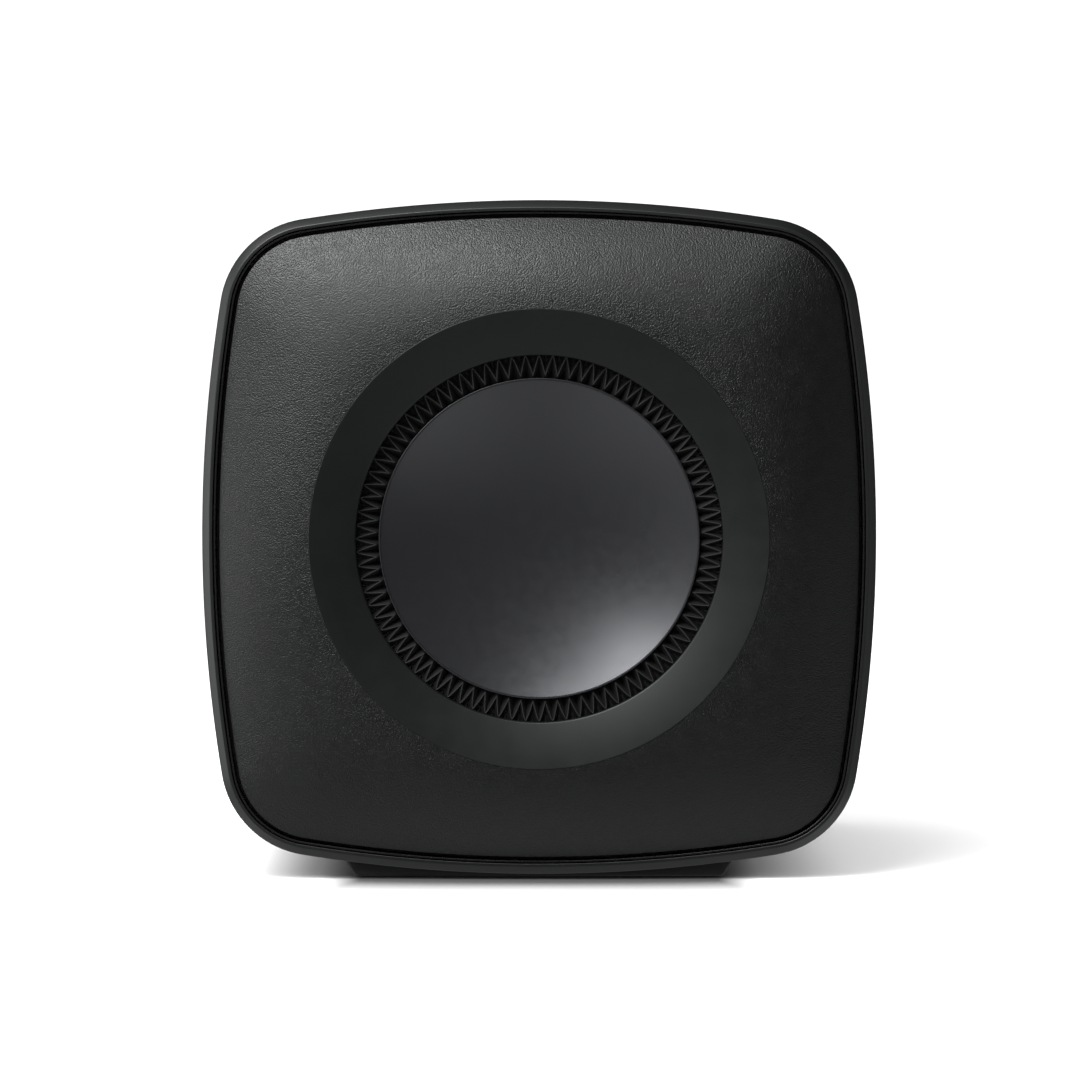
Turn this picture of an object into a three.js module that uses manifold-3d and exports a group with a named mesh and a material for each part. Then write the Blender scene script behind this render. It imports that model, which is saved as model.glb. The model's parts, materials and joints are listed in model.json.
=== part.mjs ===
// Compact active subwoofer: two opposed drivers in a rounded-square sleeve, amplifier panel at the back.
// Millimetres, +Z up. The origin is on the floor under the middle of the cabinet.
// The near driver faces -Y, the far driver +Y, and the amplifier panel faces +X.
import * as THREE from "three";
import { mergeVertices } from "three/addons/utils/BufferGeometryUtils.js";
import Module from "manifold-3d";

const wasm = await Module();
wasm.setup();

// ---- Driving dimensions: cabinet --------------------------------------------------------------
const HALF_WIDTH = 122; // the sleeve's outline is as wide as it is high
const SIDE_RADIUS = 537; // gentle bow of each side of the outline
const CORNER_RADIUS = 35;
const FLOOR_CLEARANCE = 2; // lowest line of the sleeve above the floor
const CENTRE_Z = FLOOR_CLEARANCE + HALF_WIDTH;
const OVERALL_HALF_LENGTH = 128; // to the outer lip of each bezel
const SLEEVE_HALF_LENGTH = 114;
const SLEEVE_WALL = 3.9;
const SLEEVE_CHAMFER = 2.75;
const GAP = 0.3; // between pieces that touch in the real object

// ---- Driving dimensions: end panels, measured from the middle of the cabinet --------------------
const LIP_INSET = SLEEVE_WALL + GAP;
const LIP_THICKNESS = 0.8;
const LIP_TOP = SLEEVE_HALF_LENGTH - 0.8;
const PANEL_INSET = 6.5; // side panel's outline, in from the sleeve's outline
const PANEL_WALL = 3.5;
const PANEL_EDGE = 113.6; // where the pillow begins
const PANEL_CROWN = OVERALL_HALF_LENGTH - 0.6;
const PANEL_STRAIGHT = 0.25; // share of the pillow's rise that is straight, the rest flattens out
const BAFFLE_BACK = 98;
const BAFFLE_FRONT = 104;
const BAFFLE_HOLE = 73.5;

// ---- Driving dimensions: one driver, along its axis from the middle of the cabinet --------------
const BEZEL_RADIUS = 82.7;
const BEZEL_DISH = 4.6; // the bezel's inner edge lies this far behind its outer lip
const SURROUND_RADIUS = 66;
const CONE_RADIUS = 57.8;
const CONE_RIM = 120.6;
const CONE_DEPTH = 13;
const CONE_WALL = 2;
const FLANGE_RADIUS = 81.5;
const FLANGE_BACK = 105.6;
const FLANGE_FRONT = 108.8;
const COLLAR_TOP = 117.3;
const COIL_INNER = 19.5;
const COIL_OUTER = 20.9;
const MAGNET_RADIUS = 50;
const PLATE_RADIUS = 46;
const TIE_RADIUS = 30;
const TIE_HALF_LENGTH = 8;
const BACK_PLATE_TOP = 16.3;
const MAGNET_TOP = 34.6;
const FRONT_PLATE_TOP = 41.9;
const SPIDER_HEIGHT = 65.5;
const SPIDER_RADIUS = 49;

// ---- Driving dimensions: foot --------------------------------------------------------------------
const FOOT_TOP_HALF_WIDTH = 70.5;
const FOOT_BOTTOM_HALF_WIDTH = 67;
const FOOT_HALF_LENGTH = 106;
const FOOT_BOTTOM = 1;
const FOOT_PAD_RADIUS = 9;

// ---- Driving dimensions: amplifier panel, u to the right (+Y) and v up, seen from behind ---------
const PANEL_FACE_X = 110; // outer face of the recessed plate
const PLATE_THICKNESS = 3;
const TUB = { width: 150, height: 136, wall: 2.5, rim: 6.5, corner: 8 };
const TUB_FLANGE = 7; // the plate reaches this far past the tub, behind the sleeve
const PANEL_GASKET = 2.4; // thickness between the plate and the sleeve
const BOARD_FACE = -19.5; // outer face of the two big boards, from the plate's outer face
const BOARD_THICKNESS = 1.6;
const PLACE = {
  volumeKnob: [-50, 42],
  crossoverKnob: [-20, 42],
  eqButton: [6, 42],
  phaseSwitch: [26, 42],
  modeSwitch: [48, 42],
  lineInput: [-46, 4],
  lineOutput: [-10, 4],
  groundSwitch: [17, 4],
  speakerTerminal: [46, 4],
  expansionPort: [-40, -38],
  powerSwitch: [6, -38],
  powerInlet: [42, -38],
  statusLight: [64, 42],
};
const KNOB_RADIUS = 8;
const KNOB_TOP = 8;
const SHAFT_RADIUS = 3;
const BUTTON_RADIUS = 3.5;
const SLIDER = { width: 3, slot: 8.2, nub: 3, travel: 4 };
const JACK_SPACING = 14;
const INLET = { width: 24, height: 16, depth: 15, wall: 1.6 };
const TERMINAL = { width: 17, height: 7, depth: 9, wall: 1.2 };
const ROCKER = { width: 9, height: 16.4, tilt: THREE.MathUtils.degToRad(8) };

// ---- Steps round curved shapes ------------------------------------------------------------------
const SIDE_STEPS = 6;
const CORNER_STEPS = 4;
const BIG_ROUND = 28;
const MID_ROUND = 20;
const SMALL_ROUND = 12;

const FINISHES = {
  sleeve: { color: 0x161616, roughness: 0.42, metalness: 0.6 },
  skin: { color: 0x121312, roughness: 0.62, metalness: 0 },
  trim: { color: 0x2a2a2a, roughness: 0.35, metalness: 0.7 },
  bezel: { color: 0x141615, roughness: 0.6, metalness: 0 },
  cone: { color: 0x2b2c30, roughness: 0.36, metalness: 0.6 },
  rubber: { color: 0x0b0b0b, roughness: 0.7, metalness: 0 },
  castMetal: { color: 0x1b1b1c, roughness: 0.6, metalness: 0.5 },
  steel: { color: 0x8d8f92, roughness: 0.35, metalness: 1 },
  ferrite: { color: 0x2c2c2e, roughness: 0.75, metalness: 0 },
  fabric: { color: 0x6a5a38, roughness: 0.9, metalness: 0 },
  plastic: { color: 0x101010, roughness: 0.5, metalness: 0 },
  board: { color: 0x14361f, roughness: 0.5, metalness: 0 },
  copper: { color: 0x9a5b2f, roughness: 0.35, metalness: 1 },
  aluminium: { color: 0x9da0a3, roughness: 0.4, metalness: 1 },
  mdf: { color: 0x2a2420, roughness: 0.8, metalness: 0 },
  light: { color: 0xe9e9e2, roughness: 0.3, metalness: 0 },
};

// ---- Mesh helpers -------------------------------------------------------------------------------

function part(name, geometry, finish) {
  const mesh = new THREE.Mesh(geometry, new THREE.MeshStandardMaterial(FINISHES[finish]));
  mesh.name = name;
  return mesh;
}

function toSolid(geometry) {
  const bare = geometry.clone();
  bare.deleteAttribute("normal");
  bare.deleteAttribute("uv");
  const merged = mergeVertices(bare, 1e-3);
  const mesh = new wasm.Mesh({
    numProp: 3,
    vertProperties: new Float32Array(merged.attributes.position.array),
    triVerts: new Uint32Array(merged.index.array),
  });
  return new wasm.Manifold(mesh);
}

function toGeometry(solid) {
  const { vertProperties, triVerts } = solid.getMesh();
  const geometry = new THREE.BufferGeometry();
  geometry.setAttribute("position", new THREE.BufferAttribute(vertProperties, 3));
  geometry.setIndex(new THREE.BufferAttribute(triVerts, 1));
  geometry.computeVertexNormals();
  return geometry;
}

// One closed body: every piece in `added` joined, then every piece in `removed` cut away.
function build(added, removed = []) {
  const joined = added.map(toSolid).reduce((sum, solid) => sum.add(solid));
  return toGeometry(removed.map(toSolid).reduce((rest, solid) => rest.subtract(solid), joined));
}

// Turned about the Y axis. A profile of [radius, y] points off the axis closes on itself.
function turned(profile, steps = MID_ROUND) {
  const onAxis = profile[0][0] === 0;
  const loop = onAxis ? profile : [...profile, profile[0]];
  return new THREE.LatheGeometry(loop.map(([radius, y]) => new THREE.Vector2(radius, y)), steps);
}

function ring(inner, outer, low, high) {
  return turned([[inner, low], [outer, low], [outer, high], [inner, high]]);
}

// Box from its lowest to its highest corner.
function block([x0, y0, z0], [x1, y1, z1]) {
  return new THREE.BoxGeometry(x1 - x0, y1 - y0, z1 - z0)
    .translate((x0 + x1) / 2, (y0 + y1) / 2, (z0 + z1) / 2);
}

// Box on the panel: centre u and v, width and height, and from depth `low` to depth `high`.
function plateBlock([u, v], width, height, low, high) {
  return block([u - width / 2, v - height / 2, low], [u + width / 2, v + height / 2, high]);
}

// Round rod on the panel, standing along its normal.
function plateRod([u, v], radius, low, high, steps = SMALL_ROUND) {
  return new THREE.CylinderGeometry(radius, radius, high - low, steps)
    .rotateX(Math.PI / 2)
    .translate(u, v, (low + high) / 2);
}

// Circle as a many-sided shape, for a hole or a section.
function circle(x, y, radius, steps) {
  const points = Array.from({ length: steps }, (_, index) => {
    const angle = (index * 2 * Math.PI) / steps;
    return new THREE.Vector2(x + radius * Math.cos(angle), y + radius * Math.sin(angle));
  });
  return new THREE.Shape(points);
}

// Rounded rectangle on the panel, from depth `low` to depth `high`.
function plateSlab(width, height, corner, low, high) {
  const [x, y] = [width / 2, height / 2];
  const shape = new THREE.Shape();
  shape.moveTo(-x + corner, -y);
  shape.lineTo(x - corner, -y).absarc(x - corner, -y + corner, corner, -Math.PI / 2, 0);
  shape.lineTo(x, y - corner).absarc(x - corner, y - corner, corner, 0, Math.PI / 2);
  shape.lineTo(-x + corner, y).absarc(-x + corner, y - corner, corner, Math.PI / 2, Math.PI);
  shape.lineTo(-x, -y + corner).absarc(-x + corner, -y + corner, corner, Math.PI, Math.PI * 1.5);
  const options = { depth: high - low, bevelEnabled: false, curveSegments: 4 };
  return new THREE.ExtrudeGeometry(shape, options).translate(0, 0, low);
}

// ---- The cabinet's outline: four bowed sides joined by four corner arcs --------------------------

function arcSample(centreX, centreZ, radius, angle, turn) {
  const centre = new THREE.Vector2(centreX, centreZ).rotateAround(new THREE.Vector2(), turn);
  const direction = new THREE.Vector2(Math.cos(angle + turn), Math.sin(angle + turn));
  return { centre, radius, direction };
}

function sampleOutline() {
  const sideCentre = HALF_WIDTH - SIDE_RADIUS;
  const reach = SIDE_RADIUS - CORNER_RADIUS;
  const cornerCentre = (sideCentre + Math.sqrt(2 * reach ** 2 - sideCentre ** 2)) / 2;
  const sideAngle = Math.atan2(cornerCentre, cornerCentre - sideCentre);
  const cornerSweep = Math.PI / 2 - 2 * sideAngle;
  const samples = [];
  for (let quarter = 0; quarter < 4; quarter += 1) {
    const turn = (quarter * Math.PI) / 2;
    for (let step = 0; step < SIDE_STEPS; step += 1) {
      const angle = sideAngle * ((2 * step) / SIDE_STEPS - 1);
      samples.push(arcSample(sideCentre, 0, SIDE_RADIUS, angle, turn));
    }
    for (let step = 0; step < CORNER_STEPS; step += 1) {
      const angle = sideAngle + (cornerSweep * step) / CORNER_STEPS;
      samples.push(arcSample(cornerCentre, cornerCentre, CORNER_RADIUS, angle, turn));
    }
  }
  return samples;
}

const OUTLINE = sampleOutline();

// The outline set in by `inset`, at height y along the driver axis.
function outlineRing(inset, y) {
  return OUTLINE.map(({ centre, radius, direction }) => {
    const point = direction.clone().multiplyScalar(radius - inset).add(centre);
    return new THREE.Vector3(point.x, y, point.y);
  });
}

// A circle with its points in line with the outline's.
function circleRing(radius, y) {
  return outlineRing(0, 0).map((point) => point.setLength(radius).setY(y));
}

// A ring of points part of the way from one ring to another, at height y.
function betweenRings(from, to, share, y) {
  return from.map((point, index) => point.clone().lerp(to[index], share).setY(y));
}

// Closed skin over rings of points. They go round the section outwards at the bottom, then up.
function loft(rings) {
  const count = rings[0].length;
  const indices = [];
  rings.forEach((_, row) => {
    const nextRow = (row + 1) % rings.length;
    for (let column = 0; column < count; column += 1) {
      const nextColumn = (column + 1) % count;
      const corners = [row * count + column, row * count + nextColumn];
      const above = [nextRow * count + column, nextRow * count + nextColumn];
      indices.push(corners[0], above[0], corners[1], corners[1], above[0], above[1]);
    }
  });
  const geometry = new THREE.BufferGeometry().setFromPoints(rings.flat());
  geometry.setIndex(indices);
  geometry.computeVertexNormals();
  return geometry;
}

// ---- Cabinet ------------------------------------------------------------------------------------

function sleeve() {
  const end = SLEEVE_HALF_LENGTH;
  const shell = loft([
    outlineRing(SLEEVE_WALL, -end),
    outlineRing(SLEEVE_CHAMFER, -end),
    outlineRing(0, -end + SLEEVE_CHAMFER),
    outlineRing(0, end - SLEEVE_CHAMFER),
    outlineRing(SLEEVE_CHAMFER, end),
    outlineRing(SLEEVE_WALL, end),
  ]);
  const slack = 0.4;
  const opening = plateSlab(TUB.width + 2 * slack, TUB.height + 2 * slack, TUB.corner, -20, 40)
    .applyMatrix4(new THREE.Matrix4().makeBasis(
      new THREE.Vector3(0, 1, 0),
      new THREE.Vector3(0, 0, 1),
      new THREE.Vector3(1, 0, 0),
    ))
    .translate(PANEL_FACE_X, 0, 0);
  return build([shell], [opening]);
}

// Underside of the sleeve at distance x from the middle, above the floor.
function undersideAt(x) {
  return CENTRE_Z + SIDE_RADIUS - HALF_WIDTH - Math.sqrt(SIDE_RADIUS ** 2 - x ** 2);
}

function foot() {
  const steps = 12;
  const shape = new THREE.Shape();
  shape.moveTo(-FOOT_BOTTOM_HALF_WIDTH, FOOT_BOTTOM);
  shape.lineTo(FOOT_BOTTOM_HALF_WIDTH, FOOT_BOTTOM);
  for (let step = 0; step <= steps; step += 1) {
    const x = FOOT_TOP_HALF_WIDTH * (1 - (2 * step) / steps);
    shape.lineTo(x, undersideAt(x) - GAP);
  }
  const options = { depth: 2 * FOOT_HALF_LENGTH, bevelEnabled: false };
  return new THREE.ExtrudeGeometry(shape, options).rotateX(Math.PI / 2).translate(0, FOOT_HALF_LENGTH, 0);
}

function footPad() {
  const height = FOOT_BOTTOM - GAP;
  return new THREE.CylinderGeometry(FOOT_PAD_RADIUS, FOOT_PAD_RADIUS, height, MID_ROUND)
    .rotateX(Math.PI / 2)
    .translate(0, 0, height / 2);
}

// Plate across the middle of the cabinet that clamps the tie between the two motors.
function brace() {
  const halfThickness = 3;
  const electronicsSide = 66;
  const windowRadius = 17;
  const windowCentre = 45;
  const edge = outlineRing(SLEEVE_WALL + GAP, 0);
  const shape = new THREE.Shape(edge.map((point) => new THREE.Vector2(point.x, point.z)));
  shape.holes.push(circle(0, 0, TIE_RADIUS + GAP, MID_ROUND));
  for (const x of [-windowCentre, windowCentre]) {
    for (const z of [-windowCentre, windowCentre]) {
      shape.holes.push(circle(x, z, windowRadius, SMALL_ROUND));
    }
  }
  const options = { depth: 2 * halfThickness, bevelEnabled: false };
  const plate = new THREE.ExtrudeGeometry(shape, options)
    .rotateX(Math.PI / 2)
    .translate(0, halfThickness, 0);
  const reach = 2 * HALF_WIDTH;
  return build([plate], [block([electronicsSide, -reach, -reach], [reach, reach, reach])]);
}

// ---- End panels and drivers, built facing +Y ----------------------------------------------------

function trimLip() {
  const inner = LIP_INSET + LIP_THICKNESS;
  return loft([
    outlineRing(inner, BAFFLE_FRONT + GAP),
    outlineRing(LIP_INSET, BAFFLE_FRONT + GAP),
    outlineRing(LIP_INSET, LIP_TOP),
    outlineRing(inner, LIP_TOP),
  ]);
}

// Pillow-shaped skin from the cabinet's outline up to the circle round the bezel.
function sidePanel() {
  const hole = BEZEL_RADIUS + GAP;
  const foot = BAFFLE_FRONT + GAP;
  const inset = PANEL_INSET + PANEL_WALL;
  const pillow = (share, drop = 0) => {
    const rise = PANEL_STRAIGHT * share + (1 - PANEL_STRAIGHT) * (1 - (1 - share) ** 2);
    const height = PANEL_EDGE + (PANEL_CROWN - PANEL_EDGE) * rise;
    const from = outlineRing(PANEL_INSET + drop, 0);
    return betweenRings(from, circleRing(hole + drop, 0), share, height - drop);
  };
  return loft([
    outlineRing(inset, foot),
    outlineRing(PANEL_INSET, foot),
    pillow(0),
    pillow(0.2),
    pillow(0.5),
    pillow(1),
    circleRing(hole, foot),
    circleRing(hole + PANEL_WALL, foot),
    pillow(1, PANEL_WALL),
    pillow(0.4, PANEL_WALL),
    pillow(0, PANEL_WALL),
  ]);
}

function baffle() {
  return loft([
    circleRing(BAFFLE_HOLE, BAFFLE_BACK),
    outlineRing(SLEEVE_WALL + GAP, BAFFLE_BACK),
    outlineRing(SLEEVE_WALL + GAP, BAFFLE_FRONT),
    circleRing(BAFFLE_HOLE, BAFFLE_FRONT),
  ]);
}

// Dished ring round the driver. Its points are in line with the side panel's, so the gap is even.
function bezel() {
  const lip = OVERALL_HALF_LENGTH;
  const innerTop = lip - BEZEL_DISH;
  const foot = FLANGE_FRONT + GAP;
  const wall = 3;
  return loft([
    circleRing(BEZEL_RADIUS - wall, foot),
    circleRing(BEZEL_RADIUS, foot),
    circleRing(BEZEL_RADIUS, lip),
    circleRing(SURROUND_RADIUS + 0.5, innerTop),
    circleRing(SURROUND_RADIUS, innerTop - 0.5),
    circleRing(SURROUND_RADIUS, innerTop - 2),
    circleRing(BEZEL_RADIUS - wall, lip - wall - 0.4),
  ]);
}

function basket() {
  const wall = 3;
  const base = FRONT_PLATE_TOP + GAP;
  const ledge = SPIDER_HEIGHT - GAP;
  const frame = turned([
    [30, base],
    [MAGNET_RADIUS, base],
    [53, ledge - 4],
    [72.5, BAFFLE_BACK],
    [72.5, FLANGE_BACK],
    [FLANGE_RADIUS, FLANGE_BACK],
    [FLANGE_RADIUS, FLANGE_FRONT],
    [74, FLANGE_FRONT],
    [74, COLLAR_TOP],
    [69, COLLAR_TOP],
    [69, BAFFLE_BACK],
    [SPIDER_RADIUS + 1, ledge],
    [SPIDER_RADIUS - 3, ledge],
    [SPIDER_RADIUS - 3, ledge - wall],
    [MAGNET_RADIUS - wall, base + wall],
    [30, base + wall],
  ], BIG_ROUND);
  const windows = [];
  const spokes = 4;
  for (let index = 0; index < spokes; index += 1) {
    const width = 44;
    const opening = block([40, ledge + 5, -width / 2], [90, BAFFLE_BACK - 4, width / 2]);
    windows.push(opening.rotateY((index * 2 * Math.PI) / spokes));
  }
  return build([frame], windows);
}

function driverGasket() {
  return ring(74, FLANGE_RADIUS, BAFFLE_FRONT + GAP, FLANGE_BACK - GAP);
}

// Steel ring whose bore leaves a narrow gap round the voice coil.
function frontPlate() {
  return ring(COIL_OUTER + 0.8, PLATE_RADIUS, MAGNET_TOP + GAP, FRONT_PLATE_TOP);
}

// Flexible edge between the cone and the basket's collar: its mean surface, without the pleats.
function surround() {
  const thickness = 1.1;
  const low = COLLAR_TOP + GAP;
  const inner = CONE_RADIUS - 1;
  const bottom = CONE_RIM - 1.1 - GAP - thickness;
  return turned([
    [inner, bottom],
    [59.5, bottom],
    [62.5, low + 1.2],
    [SURROUND_RADIUS, low],
    [73.5, low],
    [73.5, low + thickness],
    [SURROUND_RADIUS, low + thickness],
    [62.5, low + 1.2 + thickness],
    [59.5, bottom + thickness],
    [inner, bottom + thickness],
  ], BIG_ROUND);
}

function cone() {
  const dish = (radius) => CONE_RIM - CONE_DEPTH * (1 - (radius / CONE_RADIUS) ** 2);
  const front = [CONE_RADIUS - 0.7, 46, 34, 20, 0].map((radius) => [radius, dish(radius)]);
  const back = [0, 20, 36, 50].map((radius) => [radius, dish(radius) - CONE_WALL]);
  const rimBack = CONE_RIM - 1.1;
  const rim = [[CONE_RADIUS - 1, rimBack], [CONE_RADIUS, rimBack], [CONE_RADIUS, CONE_RIM - 0.4]];
  return turned([...back, ...rim, ...front], BIG_ROUND);
}

function voiceCoil() {
  const formerOuter = COIL_INNER + 0.6;
  const low = 28;
  const windingTop = 47;
  const dishBack = CONE_RIM - CONE_DEPTH - CONE_WALL + CONE_DEPTH * (COIL_INNER / CONE_RADIUS) ** 2;
  const top = dishBack - GAP;
  return turned([
    [COIL_INNER, low],
    [COIL_OUTER, low],
    [COIL_OUTER, windingTop],
    [formerOuter, windingTop],
    [formerOuter, top],
    [COIL_INNER, top],
  ]);
}

// Corrugated centring disc between the coil former and the basket's ledge.
function spider() {
  const thickness = 0.8;
  const inner = COIL_OUTER + 0.2;
  const rolls = 3;
  const wave = [];
  for (let index = 0; index <= rolls; index += 1) {
    const radius = inner + ((SPIDER_RADIUS - inner) * index) / rolls;
    wave.push([radius, SPIDER_HEIGHT + (index % 2 === 0 ? 0 : 2)]);
  }
  const top = wave.map(([radius, y]) => [radius, y + thickness]).reverse();
  return turned([...wave, ...top]);
}

function backPlate() {
  const pole = COIL_INNER - 0.8;
  return turned([
    [0, TIE_HALF_LENGTH + GAP],
    [PLATE_RADIUS, TIE_HALF_LENGTH + GAP],
    [PLATE_RADIUS, BACK_PLATE_TOP],
    [pole, BACK_PLATE_TOP],
    [pole, FRONT_PLATE_TOP + 2],
    [0, FRONT_PLATE_TOP + 2],
  ]);
}

// Lead from the amplifier board to the driver on one side, which is 1 for the far driver, -1 for the near.
function driverLead(side) {
  const route = new THREE.CatmullRomCurve3([
    new THREE.Vector3(88.2, 36 * side, 18),
    new THREE.Vector3(80, 38 * side, 22),
    new THREE.Vector3(74, 48 * side, 26),
    new THREE.Vector3(70, 60 * side, 26),
    new THREE.Vector3(66, 70 * side, 22),
  ]);
  const options = { steps: 10, extrudePath: route, bevelEnabled: false };
  return new THREE.ExtrudeGeometry(circle(0, 0, 1.6, 8), options);
}

// Everything on one driver axis. The near side is the far side turned half way round.
function driverSide(side, turn) {
  const group = new THREE.Group();
  group.position.z = CENTRE_Z;
  group.rotation.z = turn;
  group.add(
    part(`trim_lip_${side}`, trimLip(), "trim"),
    part(`side_panel_${side}`, sidePanel(), "skin"),
    part(`baffle_${side}`, baffle(), "mdf"),
    part(`bezel_ring_${side}`, bezel(), "bezel"),
    part(`driver_gasket_${side}`, driverGasket(), "rubber"),
    part(`driver_basket_${side}`, basket(), "castMetal"),
    part(`surround_${side}`, surround(), "rubber"),
    part(`cone_${side}`, cone(), "cone"),
    part(`voice_coil_${side}`, voiceCoil(), "copper"),
    part(`spider_${side}`, spider(), "fabric"),
    part(`front_plate_${side}`, frontPlate(), "steel"),
    part(`magnet_${side}`, ring(27, MAGNET_RADIUS, BACK_PLATE_TOP + GAP, MAGNET_TOP), "ferrite"),
    part(`back_plate_${side}`, backPlate(), "steel"),
  );
  return group;
}

// ---- Amplifier panel and electronics, built with u along X, v along Y and outwards along Z --------

function ampPanel() {
  const flangeWidth = TUB.width + 2 * TUB_FLANGE;
  const flangeHeight = TUB.height + 2 * (TUB_FLANGE - 1);
  const plate = plateSlab(flangeWidth, flangeHeight, TUB.corner, -PLATE_THICKNESS, 0);
  const bosses = [];
  for (const u of [-70, 70]) {
    for (const v of [-62, 0, 62]) {
      bosses.push(plateRod([u, v], 3, BOARD_FACE + GAP, -1));
    }
  }
  const through = (place, width, height) => plateBlock(place, width, height, -5, 1);
  const round = (place, radius) => plateRod(place, radius, -5, 1);
  const socketHole = (place, { width, height, wall }) => {
    const slack = 2 * (wall + GAP);
    return through(place, width + slack, height + slack);
  };
  const holes = [
    round(PLACE.volumeKnob, SHAFT_RADIUS + 0.5),
    round(PLACE.crossoverKnob, SHAFT_RADIUS + 0.5),
    round(PLACE.eqButton, BUTTON_RADIUS + 0.4),
    round(PLACE.statusLight, 1.8),
    through(PLACE.phaseSwitch, SLIDER.slot, SLIDER.width + 0.8),
    through(PLACE.modeSwitch, SLIDER.slot, SLIDER.width + 0.8),
    through(PLACE.groundSwitch, SLIDER.slot, SLIDER.width + 0.8),
    socketHole(PLACE.powerInlet, INLET),
    socketHole(PLACE.speakerTerminal, TERMINAL),
    through(PLACE.powerSwitch, ROCKER.width + 4.6, ROCKER.height + 5),
    through(PLACE.lineInput, 2 * JACK_SPACING + 0.6, 14.6),
    through(PLACE.lineOutput, 2 * JACK_SPACING + 0.6, 14.6),
    through(PLACE.expansionPort, 18.6, 8.6),
  ];
  return build([plate, ...bosses], holes);
}

// Frame that stands on the plate and lines the opening in the sleeve.
function panelFrame() {
  const outer = plateSlab(TUB.width, TUB.height, TUB.corner, GAP, TUB.rim);
  const pocketWidth = TUB.width - 2 * TUB.wall;
  const pocketHeight = TUB.height - 2 * TUB.wall;
  const pocket = plateSlab(pocketWidth, pocketHeight, TUB.corner - TUB.wall, 0, TUB.rim + 1);
  return build([outer], [pocket]);
}

function panelGasket() {
  const width = TUB.width + 2 * TUB_FLANGE;
  const height = TUB.height + 2 * (TUB_FLANGE - 1);
  const outer = plateSlab(width, height, TUB.corner, GAP, PANEL_GASKET);
  const inner = plateSlab(TUB.width + 2, TUB.height + 2, TUB.corner, 0, 4);
  return build([outer], [inner]);
}

function knob() {
  return turned([
    [0, -6],
    [SHAFT_RADIUS, -6],
    [SHAFT_RADIUS, 0.6],
    [KNOB_RADIUS, 0.6],
    [KNOB_RADIUS, KNOB_TOP - 1],
    [KNOB_RADIUS - 1, KNOB_TOP],
    [0, KNOB_TOP],
  ]).rotateX(Math.PI / 2);
}

function eqButton() {
  return turned([
    [0, -5.4],
    [BUTTON_RADIUS + 1.5, -5.4],
    [BUTTON_RADIUS + 1.5, -3.6],
    [BUTTON_RADIUS, -3.6],
    [BUTTON_RADIUS, 1.6],
    [BUTTON_RADIUS - 0.5, 2],
    [0, 2],
  ], SMALL_ROUND).rotateX(Math.PI / 2);
}

// Switch lever at the left end of its slot, on a wider shoe that hides the slot from behind.
function slider() {
  const start = -SLIDER.travel / 2;
  const lever = plateBlock([start, 0], SLIDER.nub, SLIDER.width, -4, 2.2);
  const shoe = plateBlock([start, 0], SLIDER.slot + SLIDER.travel + 2, SLIDER.width + 3, -4.8, -3.6);
  return build([lever, shoe]);
}

// Two phono sockets side by side in one block.
function linePair() {
  const body = plateBlock([0, 0], 2 * JACK_SPACING, 14, -12, 1.2);
  const places = [[-JACK_SPACING / 2, 0], [JACK_SPACING / 2, 0]];
  const collars = places.map((place) => plateRod(place, 4.15, 0, 10, SMALL_ROUND));
  const bores = places.map((place) => plateRod(place, 1.7, 2, 11, SMALL_ROUND));
  return build([body, ...collars], bores);
}

// Open box that a plug goes into, with its front collar on the plate and contacts on its back wall.
function socket(size, collar, contacts, contactLength) {
  const outerWidth = size.width + 2 * size.wall;
  const outerHeight = size.height + 2 * size.wall;
  const front = 1.8;
  const shell = plateBlock([0, 0], outerWidth, outerHeight, front - size.depth - 2, 1);
  const rim = plateBlock([0, 0], outerWidth + 2 * collar, outerHeight + 2 * collar, GAP, front);
  const cavity = plateBlock([0, 0], size.width, size.height, front - size.depth, front + 1);
  const hollow = toGeometry(toSolid(shell).add(toSolid(rim)).subtract(toSolid(cavity)));
  const floor = front - size.depth;
  const pins = contacts.map(([place, width, height]) =>
    plateBlock(place, width, height, floor - 1, floor + contactLength));
  return build([hollow, ...pins]);
}

function powerInlet() {
  const contacts = [[[-7, -1.6], 4, 2], [[7, -1.6], 4, 2], [[0, 2.6], 4, 2]];
  return socket(INLET, 2.6, contacts, 8.5);
}

function speakerTerminal() {
  const contacts = [-6, -2, 2, 6].map((u) => [[u, 0], 1, 1]);
  return socket(TERMINAL, 1.4, contacts, 3);
}

// Narrow-mouthed port for a flat plug.
function flatPort(width, height, wall) {
  const body = plateBlock([0, 0], width, height, -9, 0.8);
  const mouth = plateBlock([0, 0], width - 2 * wall, height - 2 * wall, -5, 2);
  return build([body], [mouth]);
}

function powerSwitchFrame() {
  const width = ROCKER.width + 4;
  const height = ROCKER.height + 4.4;
  const body = plateBlock([0, 0], width, height, -12, 1);
  const rim = plateBlock([0, 0], width + 3, height + 3, GAP, 1.8);
  const well = plateBlock([0, 0], ROCKER.width + 1, ROCKER.height + 1.8, -8, 3);
  return build([body, rim], [well]);
}

// Rocker with a shallow V face, resting with its lower half pressed in.
function powerRocker() {
  const half = ROCKER.height / 2;
  const shape = new THREE.Shape();
  shape.moveTo(-half, -2.4);
  shape.lineTo(0, -4.6);
  shape.lineTo(half, -2.4);
  shape.lineTo(half, 2.6);
  shape.lineTo(0, 1.2);
  shape.lineTo(-half, 2.6);
  const options = { depth: ROCKER.width, bevelEnabled: false };
  return new THREE.ExtrudeGeometry(shape, options)
    .translate(0, 0, -ROCKER.width / 2)
    .applyMatrix4(new THREE.Matrix4().makeBasis(
      new THREE.Vector3(0, 1, 0),
      new THREE.Vector3(0, 0, 1),
      new THREE.Vector3(1, 0, 0),
    ))
    .rotateX(ROCKER.tilt);
}

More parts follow.
